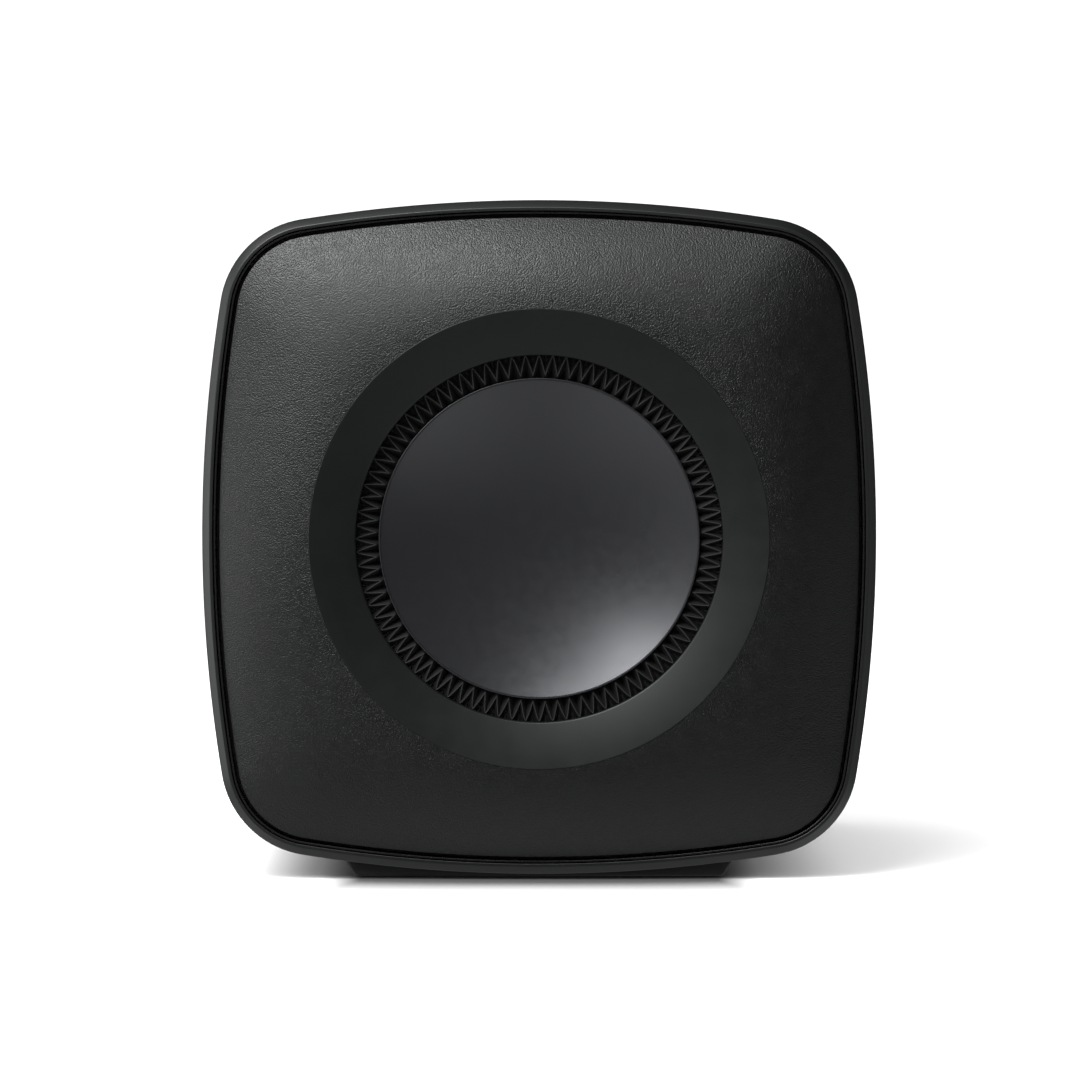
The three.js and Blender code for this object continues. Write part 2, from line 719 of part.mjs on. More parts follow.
function controlBoard() {
  const face = -11.4;
  const board = plateBlock([4, 42], 132, 24, face - BOARD_THICKNESS, face);
  const foot = face - 0.5;
  const potPlaces = [PLACE.volumeKnob, PLACE.crossoverKnob];
  const switchPlaces = [PLACE.phaseSwitch, PLACE.modeSwitch];
  const pots = potPlaces.map((place) => plateBlock(place, 13, 13, foot, -6.4));
  const switches = switchPlaces.map((place) => plateBlock(place, 15, 7, foot, -5.2));
  const button = plateBlock(PLACE.eqButton, 8, 8, foot, -6.8);
  return build([board, ...pots, ...switches, button]);
}

function bigBoard(low, high, notches = []) {
  const board = block([-74, low, BOARD_FACE - BOARD_THICKNESS], [74, high, BOARD_FACE]);
  return notches.length ? build([board], notches) : board;
}

function heatSink() {
  const low = BOARD_FACE + GAP;
  const base = block([-52, 12, low], [52, 58, low + 2]);
  const fins = [];
  for (let index = 0; index < 9; index += 1) {
    const v = 13 + index * 5.4;
    fins.push(block([-52, v, low + 1], [52, v + 1.6, low + 5.2]));
  }
  return build([base, ...fins]);
}

function transformer() {
  const top = BOARD_FACE - BOARD_THICKNESS - GAP;
  const core = block([-20, -52, top - 20], [20, -18, top]);
  const winding = block([-13, -56, top - 18], [13, -14, top - 4]);
  return build([core, winding]);
}

function capacitor() {
  const radius = 9;
  return new THREE.CylinderGeometry(radius, radius, 30, MID_ROUND)
    .translate(0, 0, BOARD_FACE - BOARD_THICKNESS - GAP - radius);
}

function rearGroup() {
  const group = new THREE.Group();
  group.position.set(PANEL_FACE_X, 0, CENTRE_Z);
  group.quaternion.setFromRotationMatrix(new THREE.Matrix4().makeBasis(
    new THREE.Vector3(0, 1, 0),
    new THREE.Vector3(0, 0, 1),
    new THREE.Vector3(1, 0, 0),
  ));
  const at = ([u, v], mesh) => {
    mesh.position.set(u, v, 0);
    return mesh;
  };
  group.add(
    part("amp_panel", ampPanel(), "castMetal"),
    part("panel_frame", panelFrame(), "castMetal"),
    part("panel_gasket", panelGasket(), "rubber"),
    part("control_board", controlBoard(), "board"),
    part("amp_board", bigBoard(2, 66), "board"),
    part("supply_board", bigBoard(-66, -2), "board"),
    part("heat_sink", heatSink(), "aluminium"),
    part("transformer", transformer(), "copper"),
    at([-58, -48], part("capacitor_left", capacitor(), "plastic")),
    at([-40, -48], part("capacitor_right", capacitor(), "plastic")),
    at(PLACE.powerInlet, part("power_inlet", powerInlet(), "plastic")),
    at(PLACE.speakerTerminal, part("speaker_terminal", speakerTerminal(), "plastic")),
    at(PLACE.lineInput, part("line_input_jacks", linePair(), "plastic")),
    at(PLACE.lineOutput, part("line_output_jacks", linePair(), "plastic")),
    at(PLACE.expansionPort, part("expansion_port", flatPort(18, 8, 2.2), "plastic")),
    at(PLACE.powerSwitch, part("power_switch_frame", powerSwitchFrame(), "plastic")),
    at(PLACE.powerSwitch, part("power_rocker", powerRocker(), "plastic")),
    at(PLACE.volumeKnob, part("volume_knob", knob(), "plastic")),
    at(PLACE.crossoverKnob, part("crossover_knob", knob(), "plastic")),
    at(PLACE.eqButton, part("eq_button", eqButton(), "plastic")),
    at(PLACE.phaseSwitch, part("phase_switch", slider(), "plastic")),
    at(PLACE.modeSwitch, part("mode_switch", slider(), "plastic")),
    at(PLACE.groundSwitch, part("ground_switch", slider(), "plastic")),
    part("status_light", plateRod(PLACE.statusLight, 1.5, -4, 0.8), "light"),
  );
  return group;
}

// ---- Assembly -----------------------------------------------------------------------------------

const subwoofer = new THREE.Group();

const cabinetSleeve = part("cabinet_sleeve", sleeve(), "sleeve");
cabinetSleeve.position.z = CENTRE_Z;
const braceFrame = part("brace_frame", brace(), "mdf");
braceFrame.position.z = CENTRE_Z;
const tie = part("motor_tie", turned([
  [0, -TIE_HALF_LENGTH],
  [TIE_RADIUS, -TIE_HALF_LENGTH],
  [TIE_RADIUS, TIE_HALF_LENGTH],
  [0, TIE_HALF_LENGTH],
]), "aluminium");
tie.position.z = CENTRE_Z;
subwoofer.add(cabinetSleeve, braceFrame, tie, part("base_foot", foot(), "rubber"));

for (const [row, y] of [["near", -88], ["far", 88]]) {
  for (const [column, x] of [["left", -50], ["right", 50]]) {
    const pad = part(`foot_pad_${row}_${column}`, footPad(), "rubber");
    pad.position.set(x, y, 0);
    subwoofer.add(pad);
  }
}

subwoofer.add(driverSide("far", 0), driverSide("near", Math.PI), rearGroup());

for (const [name, side] of [["far", 1], ["near", -1]]) {
  const lead = part(`driver_lead_${name}`, driverLead(side), "rubber");
  lead.position.z = CENTRE_Z;
  subwoofer.add(lead);
}

export default subwoofer;
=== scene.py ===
"""Looks for the compact subwoofer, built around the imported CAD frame.

Metres, +Z up. The near driver faces -Y, the far driver +Y, and the amplifier panel faces +X.
"""
import math

import bpy
from mathutils import Matrix, Vector
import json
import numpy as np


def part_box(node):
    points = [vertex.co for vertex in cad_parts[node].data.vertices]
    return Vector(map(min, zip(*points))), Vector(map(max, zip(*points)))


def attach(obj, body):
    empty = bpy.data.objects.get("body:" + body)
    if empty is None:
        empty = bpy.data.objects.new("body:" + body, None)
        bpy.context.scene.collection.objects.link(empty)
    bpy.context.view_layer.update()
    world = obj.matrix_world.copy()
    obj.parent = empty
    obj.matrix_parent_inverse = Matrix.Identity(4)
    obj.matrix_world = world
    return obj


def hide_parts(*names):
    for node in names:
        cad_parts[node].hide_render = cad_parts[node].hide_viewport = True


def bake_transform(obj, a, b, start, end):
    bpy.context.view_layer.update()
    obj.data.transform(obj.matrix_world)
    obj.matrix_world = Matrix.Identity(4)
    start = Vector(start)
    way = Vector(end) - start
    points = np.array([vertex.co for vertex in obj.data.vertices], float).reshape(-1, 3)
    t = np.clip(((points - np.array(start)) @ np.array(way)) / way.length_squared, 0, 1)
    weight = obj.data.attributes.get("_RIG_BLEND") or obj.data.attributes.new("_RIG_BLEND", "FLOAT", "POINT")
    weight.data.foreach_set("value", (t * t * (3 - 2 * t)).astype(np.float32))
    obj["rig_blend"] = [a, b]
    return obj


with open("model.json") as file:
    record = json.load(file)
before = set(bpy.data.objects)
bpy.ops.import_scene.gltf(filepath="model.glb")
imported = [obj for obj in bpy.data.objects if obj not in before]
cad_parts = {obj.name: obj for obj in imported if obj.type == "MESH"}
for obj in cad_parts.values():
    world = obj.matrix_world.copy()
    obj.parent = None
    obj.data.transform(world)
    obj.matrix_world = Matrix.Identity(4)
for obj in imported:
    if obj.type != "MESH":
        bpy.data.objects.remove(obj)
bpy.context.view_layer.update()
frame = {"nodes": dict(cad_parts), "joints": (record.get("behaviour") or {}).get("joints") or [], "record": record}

MM = 0.001

# ---- Sizes from the frame --------------------------------------------------------------------

sleeve_low, sleeve_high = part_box("cabinet_sleeve")
HALF_WIDTH = (sleeve_high.x - sleeve_low.x) / 2
CENTRE_Z = (sleeve_low.z + sleeve_high.z) / 2
SLEEVE_END = sleeve_high.y
BEZEL_LOW, BEZEL_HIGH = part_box("bezel_ring_far")
BEZEL_RADIUS = BEZEL_HIGH.x
CONE_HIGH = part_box("cone_far")[1]
CONE_RADIUS = CONE_HIGH.z - CENTRE_Z
CONE_RIM = CONE_HIGH.y
PANEL_LOW, PANEL_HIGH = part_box("side_panel_far")
LIP_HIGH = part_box("trim_lip_far")[1]
FOOT_LOW, FOOT_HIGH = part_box("base_foot")
RECESS_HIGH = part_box("panel_frame")[1]

# ---- Sizes of the design ---------------------------------------------------------------------

SIDE_RADIUS = 537 * MM
CORNER_RADIUS = 35 * MM
SLEEVE_WALL = 3.9 * MM
SLEEVE_CHAMFER = 2.75 * MM
PANEL_INSET = HALF_WIDTH - PANEL_HIGH.x - 0.1 * MM
PANEL_EDGE = SLEEVE_END - 0.3 * MM
PANEL_CROWN = PANEL_HIGH.y + 0.35 * MM
PANEL_ROUND = 0.15 * MM
# Share of the side panel's rise that is straight; the rest is curved.
PANEL_STRAIGHT = 0.25
BEZEL_DISH = 4.6 * MM
SURROUND_RADIUS = 66 * MM
CONE_DEPTH = 13 * MM
PLEATS = 84
RECESS_WIDTH = 150 * MM
RECESS_HEIGHT = 136 * MM
RECESS_WALL = 2.5 * MM
RECESS_RIM = 6.5 * MM
RECESS_CORNER = 8 * MM
PLATE_FACE_X = RECESS_HIGH.x - RECESS_RIM
ROCKER_VALLEY = 1.2 * MM
ROCKER_FACE_SLOPE = math.atan(1.4 / 8.2)

# Steps round the cabinet's outline and round a circle
SIDE_STEPS = 30
CORNER_STEPS = 18
ROUND_STEPS = 240
# Steps round a corner of a rectangle on the rear panel
QUARTER_STEPS = 6

# Edges that turn by more than this are sharp, and a ring on its axis keeps this radius.
SHARP_DEGREES = 38
LEAST_RADIUS = 0.001 * MM

# Brightness of the studio, where 1 is white: what lights matt surfaces, and the walls and floor
# that glossy ones reflect. ROOM_SIDES is how much brighter the floor gets towards both sides.
DOME = 1.6
BACKDROP = 1.2
ROOM_WALLS = 0.008
ROOM_FLOOR = 0.26
ROOM_SIDES = 4.0

# The far side's pieces are built in place; the near side's are the same turned half way round.
SIDES = {"far": Matrix.Identity(4), "near": Matrix.Rotation(math.pi, 4, "Z")}

# Places on the rear panel as (u, v, d): u to the right, v up and d outwards, facing the panel.
PANEL = Matrix.Translation((PLATE_FACE_X, 0, CENTRE_Z)) @ Matrix(
    ((0, 0, 1, 0), (1, 0, 0, 0), (0, 1, 0, 0), (0, 0, 0, 1))
)

scene = bpy.context.scene


# ---- Materials -------------------------------------------------------------------------------

class Surface:
    """A Principled material whose colour, roughness and height are built from object-space textures."""

    def __init__(self, name, colour, roughness, metallic=0.0, specular=0.5, tint=(1, 1, 1)):
        self.material = bpy.data.materials.new(name)
        self.material.use_nodes = True
        self.nodes = self.material.node_tree.nodes
        self.links = self.material.node_tree.links
        self.shader = self.nodes["Principled BSDF"]
        self.colour = colour
        self.roughness = roughness
        self.shader.inputs["Base Color"].default_value = (*colour, 1)
        self.shader.inputs["Roughness"].default_value = roughness
        self.shader.inputs["Metallic"].default_value = metallic
        self.shader.inputs["Specular IOR Level"].default_value = specular
        self.shader.inputs["Specular Tint"].default_value = (*tint, 1)
        self.place = self.nodes.new("ShaderNodeTexCoord").outputs["Object"]

    def node(self, kind, **settings):
        node = self.nodes.new(kind)
        for key, value in settings.items():
            setattr(node, key, value)
        return node

    def mapped(self, scale):
        mapping = self.node("ShaderNodeMapping")
        mapping.inputs["Scale"].default_value = scale
        self.links.new(self.place, mapping.inputs["Vector"])
        return mapping.outputs["Vector"]

    def noise(self, size, detail=3.0, stretch=(1, 1, 1)):
        """Noise whose features are about `size` metres across."""
        noise = self.node("ShaderNodeTexNoise")
        scale = 1 / size
        noise.inputs["Scale"].default_value = 1
        noise.inputs["Detail"].default_value = detail
        self.links.new(self.mapped([scale * axis for axis in stretch]), noise.inputs["Vector"])
        return noise.outputs["Fac"]

    def remap(self, value, low, high, from_low=0.3, from_high=0.7):
        remap = self.node("ShaderNodeMapRange")
        remap.inputs["From Min"].default_value = from_low
        remap.inputs["From Max"].default_value = from_high
        remap.inputs["To Min"].default_value = low
        remap.inputs["To Max"].default_value = high
        self.links.new(value, remap.inputs["Value"])
        return remap.outputs["Result"]

    def mix_colours(self, first, second, share):
        """Goes from the first colour to the second as `share` goes from 0 to 1."""
        mix = self.node("ShaderNodeMix", data_type="RGBA")
        sockets = [socket for socket in mix.inputs if socket.type == "RGBA"]
        for socket, colour in zip(sockets, (first, second)):
            socket.default_value = (*colour, 1)
        result = next(socket for socket in mix.outputs if socket.type == "RGBA")
        self.links.new(share, mix.inputs[0])
        self.links.new(result, self.shader.inputs["Base Color"])
        return self

    def mottle(self, size, amount):
        """Uneven colour: darker and lighter patches."""
        darker = [channel * (1 - amount) for channel in self.colour]
        lighter = [channel * (1 + amount) for channel in self.colour]
        return self.mix_colours(darker, lighter, self.remap(self.noise(size), 0, 1))

    def scuff(self, size, amount, stretch=(1, 1, 1)):
        """Uneven roughness."""
        low, high = self.roughness - amount, self.roughness + amount
        self.links.new(
            self.remap(self.noise(size, stretch=stretch), low, high), self.shader.inputs["Roughness"]
        )
        return self

    def raise_by(self, height, depth):
        """Adds bumps from a height of 0 to 1, `depth` metres deep, over what is there already."""
        bump = self.node("ShaderNodeBump")
        bump.inputs["Strength"].default_value = 1
        bump.inputs["Distance"].default_value = depth
        self.links.new(height, bump.inputs["Height"])
        normal = self.shader.inputs["Normal"]
        if normal.is_linked:
            self.links.new(normal.links[0].from_socket, bump.inputs["Normal"])
        self.links.new(bump.outputs["Normal"], normal)
        return self

    def grain(self, size, depth, detail=3.0, stretch=(1, 1, 1)):
        """Fine random roughness in height."""
        return self.raise_by(self.noise(size, detail, stretch), depth)

    def leather(self, size, depth):
        """Pebbles of leather grain with creases between them."""
        cells = self.node("ShaderNodeTexVoronoi", feature="SMOOTH_F1")
        cells.inputs["Scale"].default_value = 1
        cells.inputs["Smoothness"].default_value = 0.6
        warp = self.node("ShaderNodeVectorMath", operation="ADD")
        spread = self.node("ShaderNodeVectorMath", operation="SCALE")
        wobble = self.node("ShaderNodeTexNoise")
        place = self.mapped([1 / size] * 3)
        wobble.inputs["Scale"].default_value = 0.9
        spread.inputs["Scale"].default_value = 0.9
        self.links.new(place, wobble.inputs["Vector"])
        self.links.new(wobble.outputs["Color"], spread.inputs[0])
        self.links.new(place, warp.inputs[0])
        self.links.new(spread.outputs["Vector"], warp.inputs[1])
        self.links.new(warp.outputs["Vector"], cells.inputs["Vector"])
        return self.raise_by(self.remap(cells.outputs["Distance"], 1, 0, 0.1, 0.8), depth)

    def glow(self, colour, strength):
        self.shader.inputs["Emission Color"].default_value = (*colour, 1)
        self.shader.inputs["Emission Strength"].default_value = strength
        return self


def sleeve_paint():
    paint = Surface("sleeve_paint", (0.0041, 0.0043, 0.0042), 0.40, specular=0.5, tint=(0.96, 1, 0.98))
    return paint.mottle(40 * MM, 0.08).scuff(60 * MM, 0.012).grain(0.35 * MM, 0.02 * MM).material


def panel_skin():
    skin = Surface("panel_skin", (0.0010, 0.0011, 0.0011), 0.40, specular=0.53, tint=(0.965, 1, 0.98))
    skin.mottle(25 * MM, 0.10).scuff(5 * MM, 0.04)
    return skin.leather(0.48 * MM, 0.115 * MM).grain(0.30 * MM, 0.06 * MM, 1.0).material


def bezel_plastic():
    colour = (0.0020, 0.0023, 0.0022)
    plastic = Surface("bezel_plastic", colour, 0.46, specular=0.38, tint=(0.92, 1, 0.96))
    return plastic.mottle(30 * MM, 0.06).scuff(8 * MM, 0.03).grain(0.25 * MM, 0.006 * MM).material


def trim_gloss():
    trim = Surface("trim_gloss", (0.005, 0.005, 0.005), 0.28, specular=0.3)
    return trim.mottle(20 * MM, 0.08).scuff(6 * MM, 0.04).material


def cone_satin():
    satin = Surface("cone_satin", (0.0070, 0.0071, 0.0080), 0.33, specular=0.81, tint=(0.94, 0.96, 1))
    satin.mottle(30 * MM, 0.04).scuff(4 * MM, 0.02)
    return satin.grain(0.3 * MM, 0.004 * MM).material


def pleat_rubber():
    """Matt rubber with a painted highlight: a little paler along the crest of each pleat."""
    rubber = Surface("pleat_rubber", (0.0035, 0.0035, 0.0037), 0.62, specular=0.3)
    crest = rubber.node("ShaderNodeAttribute", attribute_name="crest").outputs["Fac"]
    rubber.mix_colours(rubber.colour, (0.017, 0.0178, 0.0185), crest)
    return rubber.grain(0.3 * MM, 0.01 * MM).material


def moulding(name, colour=(0.010, 0.010, 0.010), roughness=0.5, size=0.4 * MM, depth=0.012 * MM):
    plastic = Surface(name, colour, roughness)
    return plastic.mottle(15 * MM, 0.1).scuff(3 * MM, 0.05).grain(size, depth).material


def metal(name, colour, roughness, brushed=(1, 1, 1)):
    steel = Surface(name, colour, roughness, metallic=1.0)
    steel.mottle(12 * MM, 0.08).scuff(1.5 * MM, 0.06, brushed)
    return steel.grain(0.3 * MM, 0.004 * MM).material


def fibreboard():
    board = Surface("fibreboard", (0.012, 0.011, 0.010), 0.85, specular=0.2)
    return board.mottle(2 * MM, 0.25).grain(0.5 * MM, 0.05 * MM, stretch=(1, 1, 3)).material


def cloth():
    weave = Surface("spider_cloth", (0.30, 0.20, 0.08), 0.9, specular=0.1)
    threads = weave.node("ShaderNodeTexWave", bands_direction="Z")
    threads.inputs["Scale"].default_value = 400
    weave.links.new(weave.place, threads.inputs["Vector"])
    return weave.mottle(3 * MM, 0.2).raise_by(threads.outputs["Fac"], 0.1 * MM).material


def circuit_board():
    mask = Surface("circuit_board", (0.008, 0.075, 0.025), 0.35)
    tracks = mask.node("ShaderNodeTexBrick")
    tracks.inputs["Scale"].default_value = 180
    tracks.inputs["Mortar Size"].default_value = 0.02
    mask.links.new(mask.place, tracks.inputs["Vector"])
    mask.raise_by(tracks.outputs["Fac"], 0.05 * MM)
    return mask.mottle(4 * MM, 0.25).scuff(3 * MM, 0.05).material


def winding():
    wire = Surface("copper_winding", (0.55, 0.22, 0.09), 0.32, metallic=1.0)
    turns = wire.node("ShaderNodeTexWave", bands_direction="Y")
    turns.inputs["Scale"].default_value = 700
    wire.links.new(wire.place, turns.inputs["Vector"])
    return wire.mottle(5 * MM, 0.15).raise_by(turns.outputs["Fac"], 0.15 * MM).material


def light_pipe():
    pipe = Surface("light_pipe", (0.75, 0.76, 0.72), 0.3).glow((0.9, 0.95, 1.0), 0.4)
    return pipe.mottle(2 * MM, 0.05).grain(0.3 * MM, 0.004 * MM).material


def floor_paint():
    """White floor whose colour is darkened by ambient occlusion in front of and behind the foot: a painted contact
    shadow.
    """
    paint = Surface("floor_paint", (0.86, 0.86, 0.86), 0.7, specular=0.3)
    contact = paint.node("ShaderNodeAmbientOcclusion", samples=16)
    contact.inputs["Distance"].default_value = 80 * MM
    # Painted contact shadow: the floor's colour darkens where ambient occlusion finds the cabinet close by.
    shade = paint.remap(contact.outputs["AO"], 0.08, 0.86, 0.45, 0.90)
    parts = paint.node("ShaderNodeSeparateXYZ")
    paint.links.new(paint.place, parts.inputs[0])
    sideways = paint.node("ShaderNodeMath", operation="ABSOLUTE")
    paint.links.new(parts.outputs["X"], sideways.inputs[0])
    beside = paint.remap(sideways.outputs[0], 0, 0.86, FOOT_HIGH.x - 7 * MM, FOOT_HIGH.x + 10 * MM)
    lighter = paint.node("ShaderNodeMath", operation="MAXIMUM")
    paint.links.new(shade, lighter.inputs[0])
    paint.links.new(beside, lighter.inputs[1])
    paint.links.new(lighter.outputs[0], paint.shader.inputs["Base Color"])
    return paint.grain(2 * MM, 0.02 * MM).material


MATERIALS = {
    "sleeve": sleeve_paint(),
    "skin": panel_skin(),
    "trim": trim_gloss(),
    "bezel": bezel_plastic(),
    "cone_metal": cone_satin(),
    "surround_rubber": pleat_rubber(),
    "foot": moulding("foot_moulding", (0.0032, 0.0032, 0.0032), 0.55),
    "pad_rubber": moulding("pad_rubber", (0.012, 0.012, 0.012), 0.8),
    "foam_rubber": moulding("foam_rubber", (0.010, 0.010, 0.010), 0.9, 0.8 * MM),
    "fibreboard": fibreboard(),
    "basket_metal": moulding("basket_coat", (0.013, 0.013, 0.014), 0.5),
    "winding": winding(),
    "spider_cloth": cloth(),
    "plated_steel": metal("zinc_plate", (0.56, 0.57, 0.60), 0.3),
    "ferrite": moulding("ferrite", (0.03, 0.03, 0.032), 0.75, 1.0 * MM),
    "bare_aluminium": metal("bare_aluminium", (0.62, 0.63, 0.65), 0.35, (1, 8, 1)),
    "cast_panel": moulding("cast_texture_coat", (0.013, 0.013, 0.0135), 0.52, 0.6 * MM, 0.05 * MM),
    "circuit_board": circuit_board(),
    "capacitor_case": moulding("capacitor_sleeve", (0.012, 0.012, 0.02), 0.25),
    "socket_plastic": moulding("socket_moulding", (0.009, 0.009, 0.009), 0.42),
    "control_plastic": moulding("control_moulding", (0.016, 0.016, 0.017), 0.5, 0.3 * MM),
    "light_pipe": light_pipe(),
    "lead_rubber": moulding("lead_jacket", (0.012, 0.012, 0.012), 0.5),
}
GOLD = metal("gold_plate", (0.75, 0.52, 0.20), 0.22)
SCREW = metal("black_oxide", (0.32, 0.32, 0.33), 0.38)
PAINT = moulding("marking_paint", (0.55, 0.55, 0.55), 0.6)
RED_INSERT = moulding("red_insert", (0.45, 0.015, 0.012), 0.4)
WHITE_INSERT = moulding("white_insert", (0.70, 0.70, 0.68), 0.4)


# ---- Mesh helpers ----------------------------------------------------------------------------

def mesh_object(name, vertices, faces, sharp_degrees=SHARP_DEGREES):
    mesh = bpy.data.meshes.new(name)
    mesh.from_pydata(vertices, [], faces)
    mesh.validate()
    mesh.shade_smooth()
    mesh.set_sharp_from_angle(angle=math.radians(sharp_degrees))
    obj = bpy.data.objects.new(name, mesh)
    scene.collection.objects.link(obj)
    return obj


def finish_piece(obj, material, body="cabinet", nodes=()):
    """Gives a piece its body, the nodes it stands in for, and a material: a slot's name, or one
    of its own."""
    obj.data.materials.clear()
    obj.data.materials.append(MATERIALS.get(material, material))
    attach(obj, body)
    if nodes:
        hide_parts(*nodes)


def fillet_arc(before, here, after, radius):
    """Points of the arc that rounds the corner `here` between its two neighbours."""
    back = (before - here).normalized()
    ahead = (after - here).normalized()
    half = back.angle(ahead) / 2
    centre = here + (back + ahead).normalized() * (radius / math.sin(half))
    reach = radius / math.tan(half)
    first = here + back * reach - centre
    last = here + ahead * reach - centre
    start = math.atan2(first.y, first.x)
    sweep = math.remainder(math.atan2(last.y, last.x) - start, 2 * math.pi)
    steps = max(2, math.ceil(abs(sweep) / math.radians(15)))
    angles = [start + sweep * step / steps for step in range(steps + 1)]
    return [centre + radius * Vector((math.cos(angle), math.sin(angle))) for angle in angles]


def rounded(corners, closed=True):
    """Smooth section from corners (across, along, fillet radius)."""
    points = []
    count = len(corners)
    for index, (across, along, radius) in enumerate(corners):
        here = Vector((across, along))
        open_end = not closed and index in (0, count - 1)
        if radius == 0 or open_end:
            points.append(here)
            continue
        before = Vector(corners[index - 1][:2])
        after = Vector(corners[(index + 1) % count][:2])
        points += fillet_arc(before, here, after, radius)
    return points


def loft(name, rings, closed=True, sharp_degrees=SHARP_DEGREES):
    """Skin over rings of points. If `closed`, the last ring is joined to the first."""
    count = len(rings[0])
    vertices = [point for ring in rings for point in ring]
    rows = len(rings) if closed else len(rings) - 1
    faces = []
    for row in range(rows):
        here, above = row * count, (row + 1) % len(rings) * count
        for column in range(count):
            beside = (column + 1) % count
            faces.append((here + column, here + beside, above + beside, above + column))
    return mesh_object(name, vertices, faces, sharp_degrees)


def turned(name, section, closed=True):
    """Turned about the driver axis: section of (radius, y) points."""
    rings = []
    for radius, y in section:
        radius = max(radius, LEAST_RADIUS)
        ring = []
        for step in range(ROUND_STEPS):
            angle = -2 * math.pi * step / ROUND_STEPS
            ring.append(Vector((radius * math.cos(angle), y, CENTRE_Z + radius * math.sin(angle))))
        rings.append(ring)
    return loft(name, rings, closed)


def outline_points():
    """The cabinet's outline as (arc centre, arc radius, direction), clockwise seen from the far side."""
    side_centre = HALF_WIDTH - SIDE_RADIUS
    reach = SIDE_RADIUS - CORNER_RADIUS
    corner = (side_centre + math.sqrt(2 * reach ** 2 - side_centre ** 2)) / 2
    side_angle = math.atan2(corner, corner - side_centre)
    sweep = math.pi / 2 - 2 * side_angle
    arcs = []
    for quarter in range(4):
        turn = Matrix.Rotation(quarter * math.pi / 2, 2)
        for step in range(SIDE_STEPS):
            angle = side_angle * (2 * step / SIDE_STEPS - 1)
            direction = Vector((math.cos(angle), math.sin(angle)))
            arcs.append((turn @ Vector((side_centre, 0)), SIDE_RADIUS, turn @ direction))
        for step in range(CORNER_STEPS):
            angle = side_angle + sweep * step / CORNER_STEPS
            direction = Vector((math.cos(angle), math.sin(angle)))
            arcs.append((turn @ Vector((corner, corner)), CORNER_RADIUS, turn @ direction))
    return arcs[::-1]


OUTLINE = outline_points()


def outline_ring(inset, y):
    points = [centre + direction * (radius - inset) for centre, radius, direction in OUTLINE]
    return [Vector((point.x, y, point.y + CENTRE_Z)) for point in points]


def circle_ring(radius, y):
    """A circle with its points in line with the outline's."""
    ring = []
    for point in outline_ring(0, 0):
        direction = Vector((point.x, point.z - CENTRE_Z)).normalized() * radius
        ring.append(Vector((direction.x, y, direction.y + CENTRE_Z)))
    return ring


def to_panel(obj, place=(0, 0)):
    """Moves a piece built about the Z axis onto the panel at (u, v)."""
    obj.data.transform(PANEL @ Matrix.Translation((*place, 0)))
    return obj


def panel_place(node):
    """The (u, v) of a CAD node's middle on the panel."""
    low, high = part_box(node)
    return ((low.y + high.y) / 2, (low.z + high.z) / 2 - CENTRE_Z)


def turned_up(name, section, closed=False):
    """Turned about the panel's normal: section of (radius, depth) points."""
    steps = 48
    rings = []
    for radius, depth in section:
        radius = max(radius, LEAST_RADIUS)
        ring = []
        for step in range(steps):
            angle = 2 * math.pi * step / steps
            ring.append(Vector((radius * math.cos(angle), radius * math.sin(angle), depth)))
        rings.append(ring)
    return loft(name, rings, closed)


def rectangle_ring(size, corner, inset, depth):
    """Rounded rectangle on the panel at one depth, `inset` in from the given width and height."""
    ring = []
    reach = corner - inset
    for quarter, (sx, sy) in enumerate(((1, 1), (-1, 1), (-1, -1), (1, -1))):
        centre = Vector((sx * (size[0] / 2 - corner), sy * (size[1] / 2 - corner)))
        for step in range(QUARTER_STEPS + 1):
            angle = math.pi / 2 * (quarter + step / QUARTER_STEPS)
            ring.append(Vector((
                centre.x + reach * math.cos(angle), centre.y + reach * math.sin(angle), depth,
            )))
    return ring


def slab(name, size, low, high, bevel, corner=0.0):
    """Bevelled slab with rounded corners on the panel, `size` wide and high, from depth low to high."""
    corner = max(corner, bevel * 1.01)
    insets = [bevel, bevel * 0.3, 0, 0, bevel * 0.3, bevel]
    depths = [low, low + bevel * 0.3, low + bevel, high - bevel, high - bevel * 0.3, high]
    rings = [rectangle_ring(size, corner, inset, depth) for inset, depth in zip(insets, depths)]
    obj = loft(name, rings, closed=False)
    return cap(obj, len(rings[0]), len(rings))


def cap(obj, count, rows):
    """Closes the first and last ring of an open loft with flat faces."""
    mesh = obj.data
    vertices = [vertex.co.copy() for vertex in mesh.vertices]
    faces = [tuple(polygon.vertices) for polygon in mesh.polygons]
    faces.append(tuple(range(count))[::-1])
    faces.append(tuple(range((rows - 1) * count, rows * count)))
    name = obj.name
    bpy.data.objects.remove(obj)
    bpy.data.meshes.remove(mesh)
    return mesh_object(name, vertices, faces)


def join(name, objects):
    """One object out of several, which all keep their places."""
    vertices, faces = [], []
    for obj in objects:
        offset = len(vertices)
        vertices += [obj.matrix_world @ vertex.co for vertex in obj.data.vertices]
        faces += [tuple(index + offset for index in polygon.vertices) for polygon in obj.data.polygons]
        mesh = obj.data
        bpy.data.objects.remove(obj)
        bpy.data.meshes.remove(mesh)
    return mesh_object(name, vertices, faces)


def cut(obj, cutter):
    """Takes the cutter's volume out of the object's mesh for good."""
    modifier = obj.modifiers.new("cut", "BOOLEAN")
    modifier.operation = "DIFFERENCE"
    modifier.solver = "EXACT"
    modifier.object = cutter
    bpy.context.view_layer.update()
    evaluated = obj.evaluated_get(bpy.context.evaluated_depsgraph_get())
    mesh = bpy.data.meshes.new_from_object(evaluated)
    obj.modifiers.clear()
    obj.data = mesh
    mesh.shade_smooth()
    mesh.set_sharp_from_angle(angle=math.radians(SHARP_DEGREES))
    bpy.data.objects.remove(cutter)
    return obj


# ---- Cabinet ---------------------------------------------------------------------------------

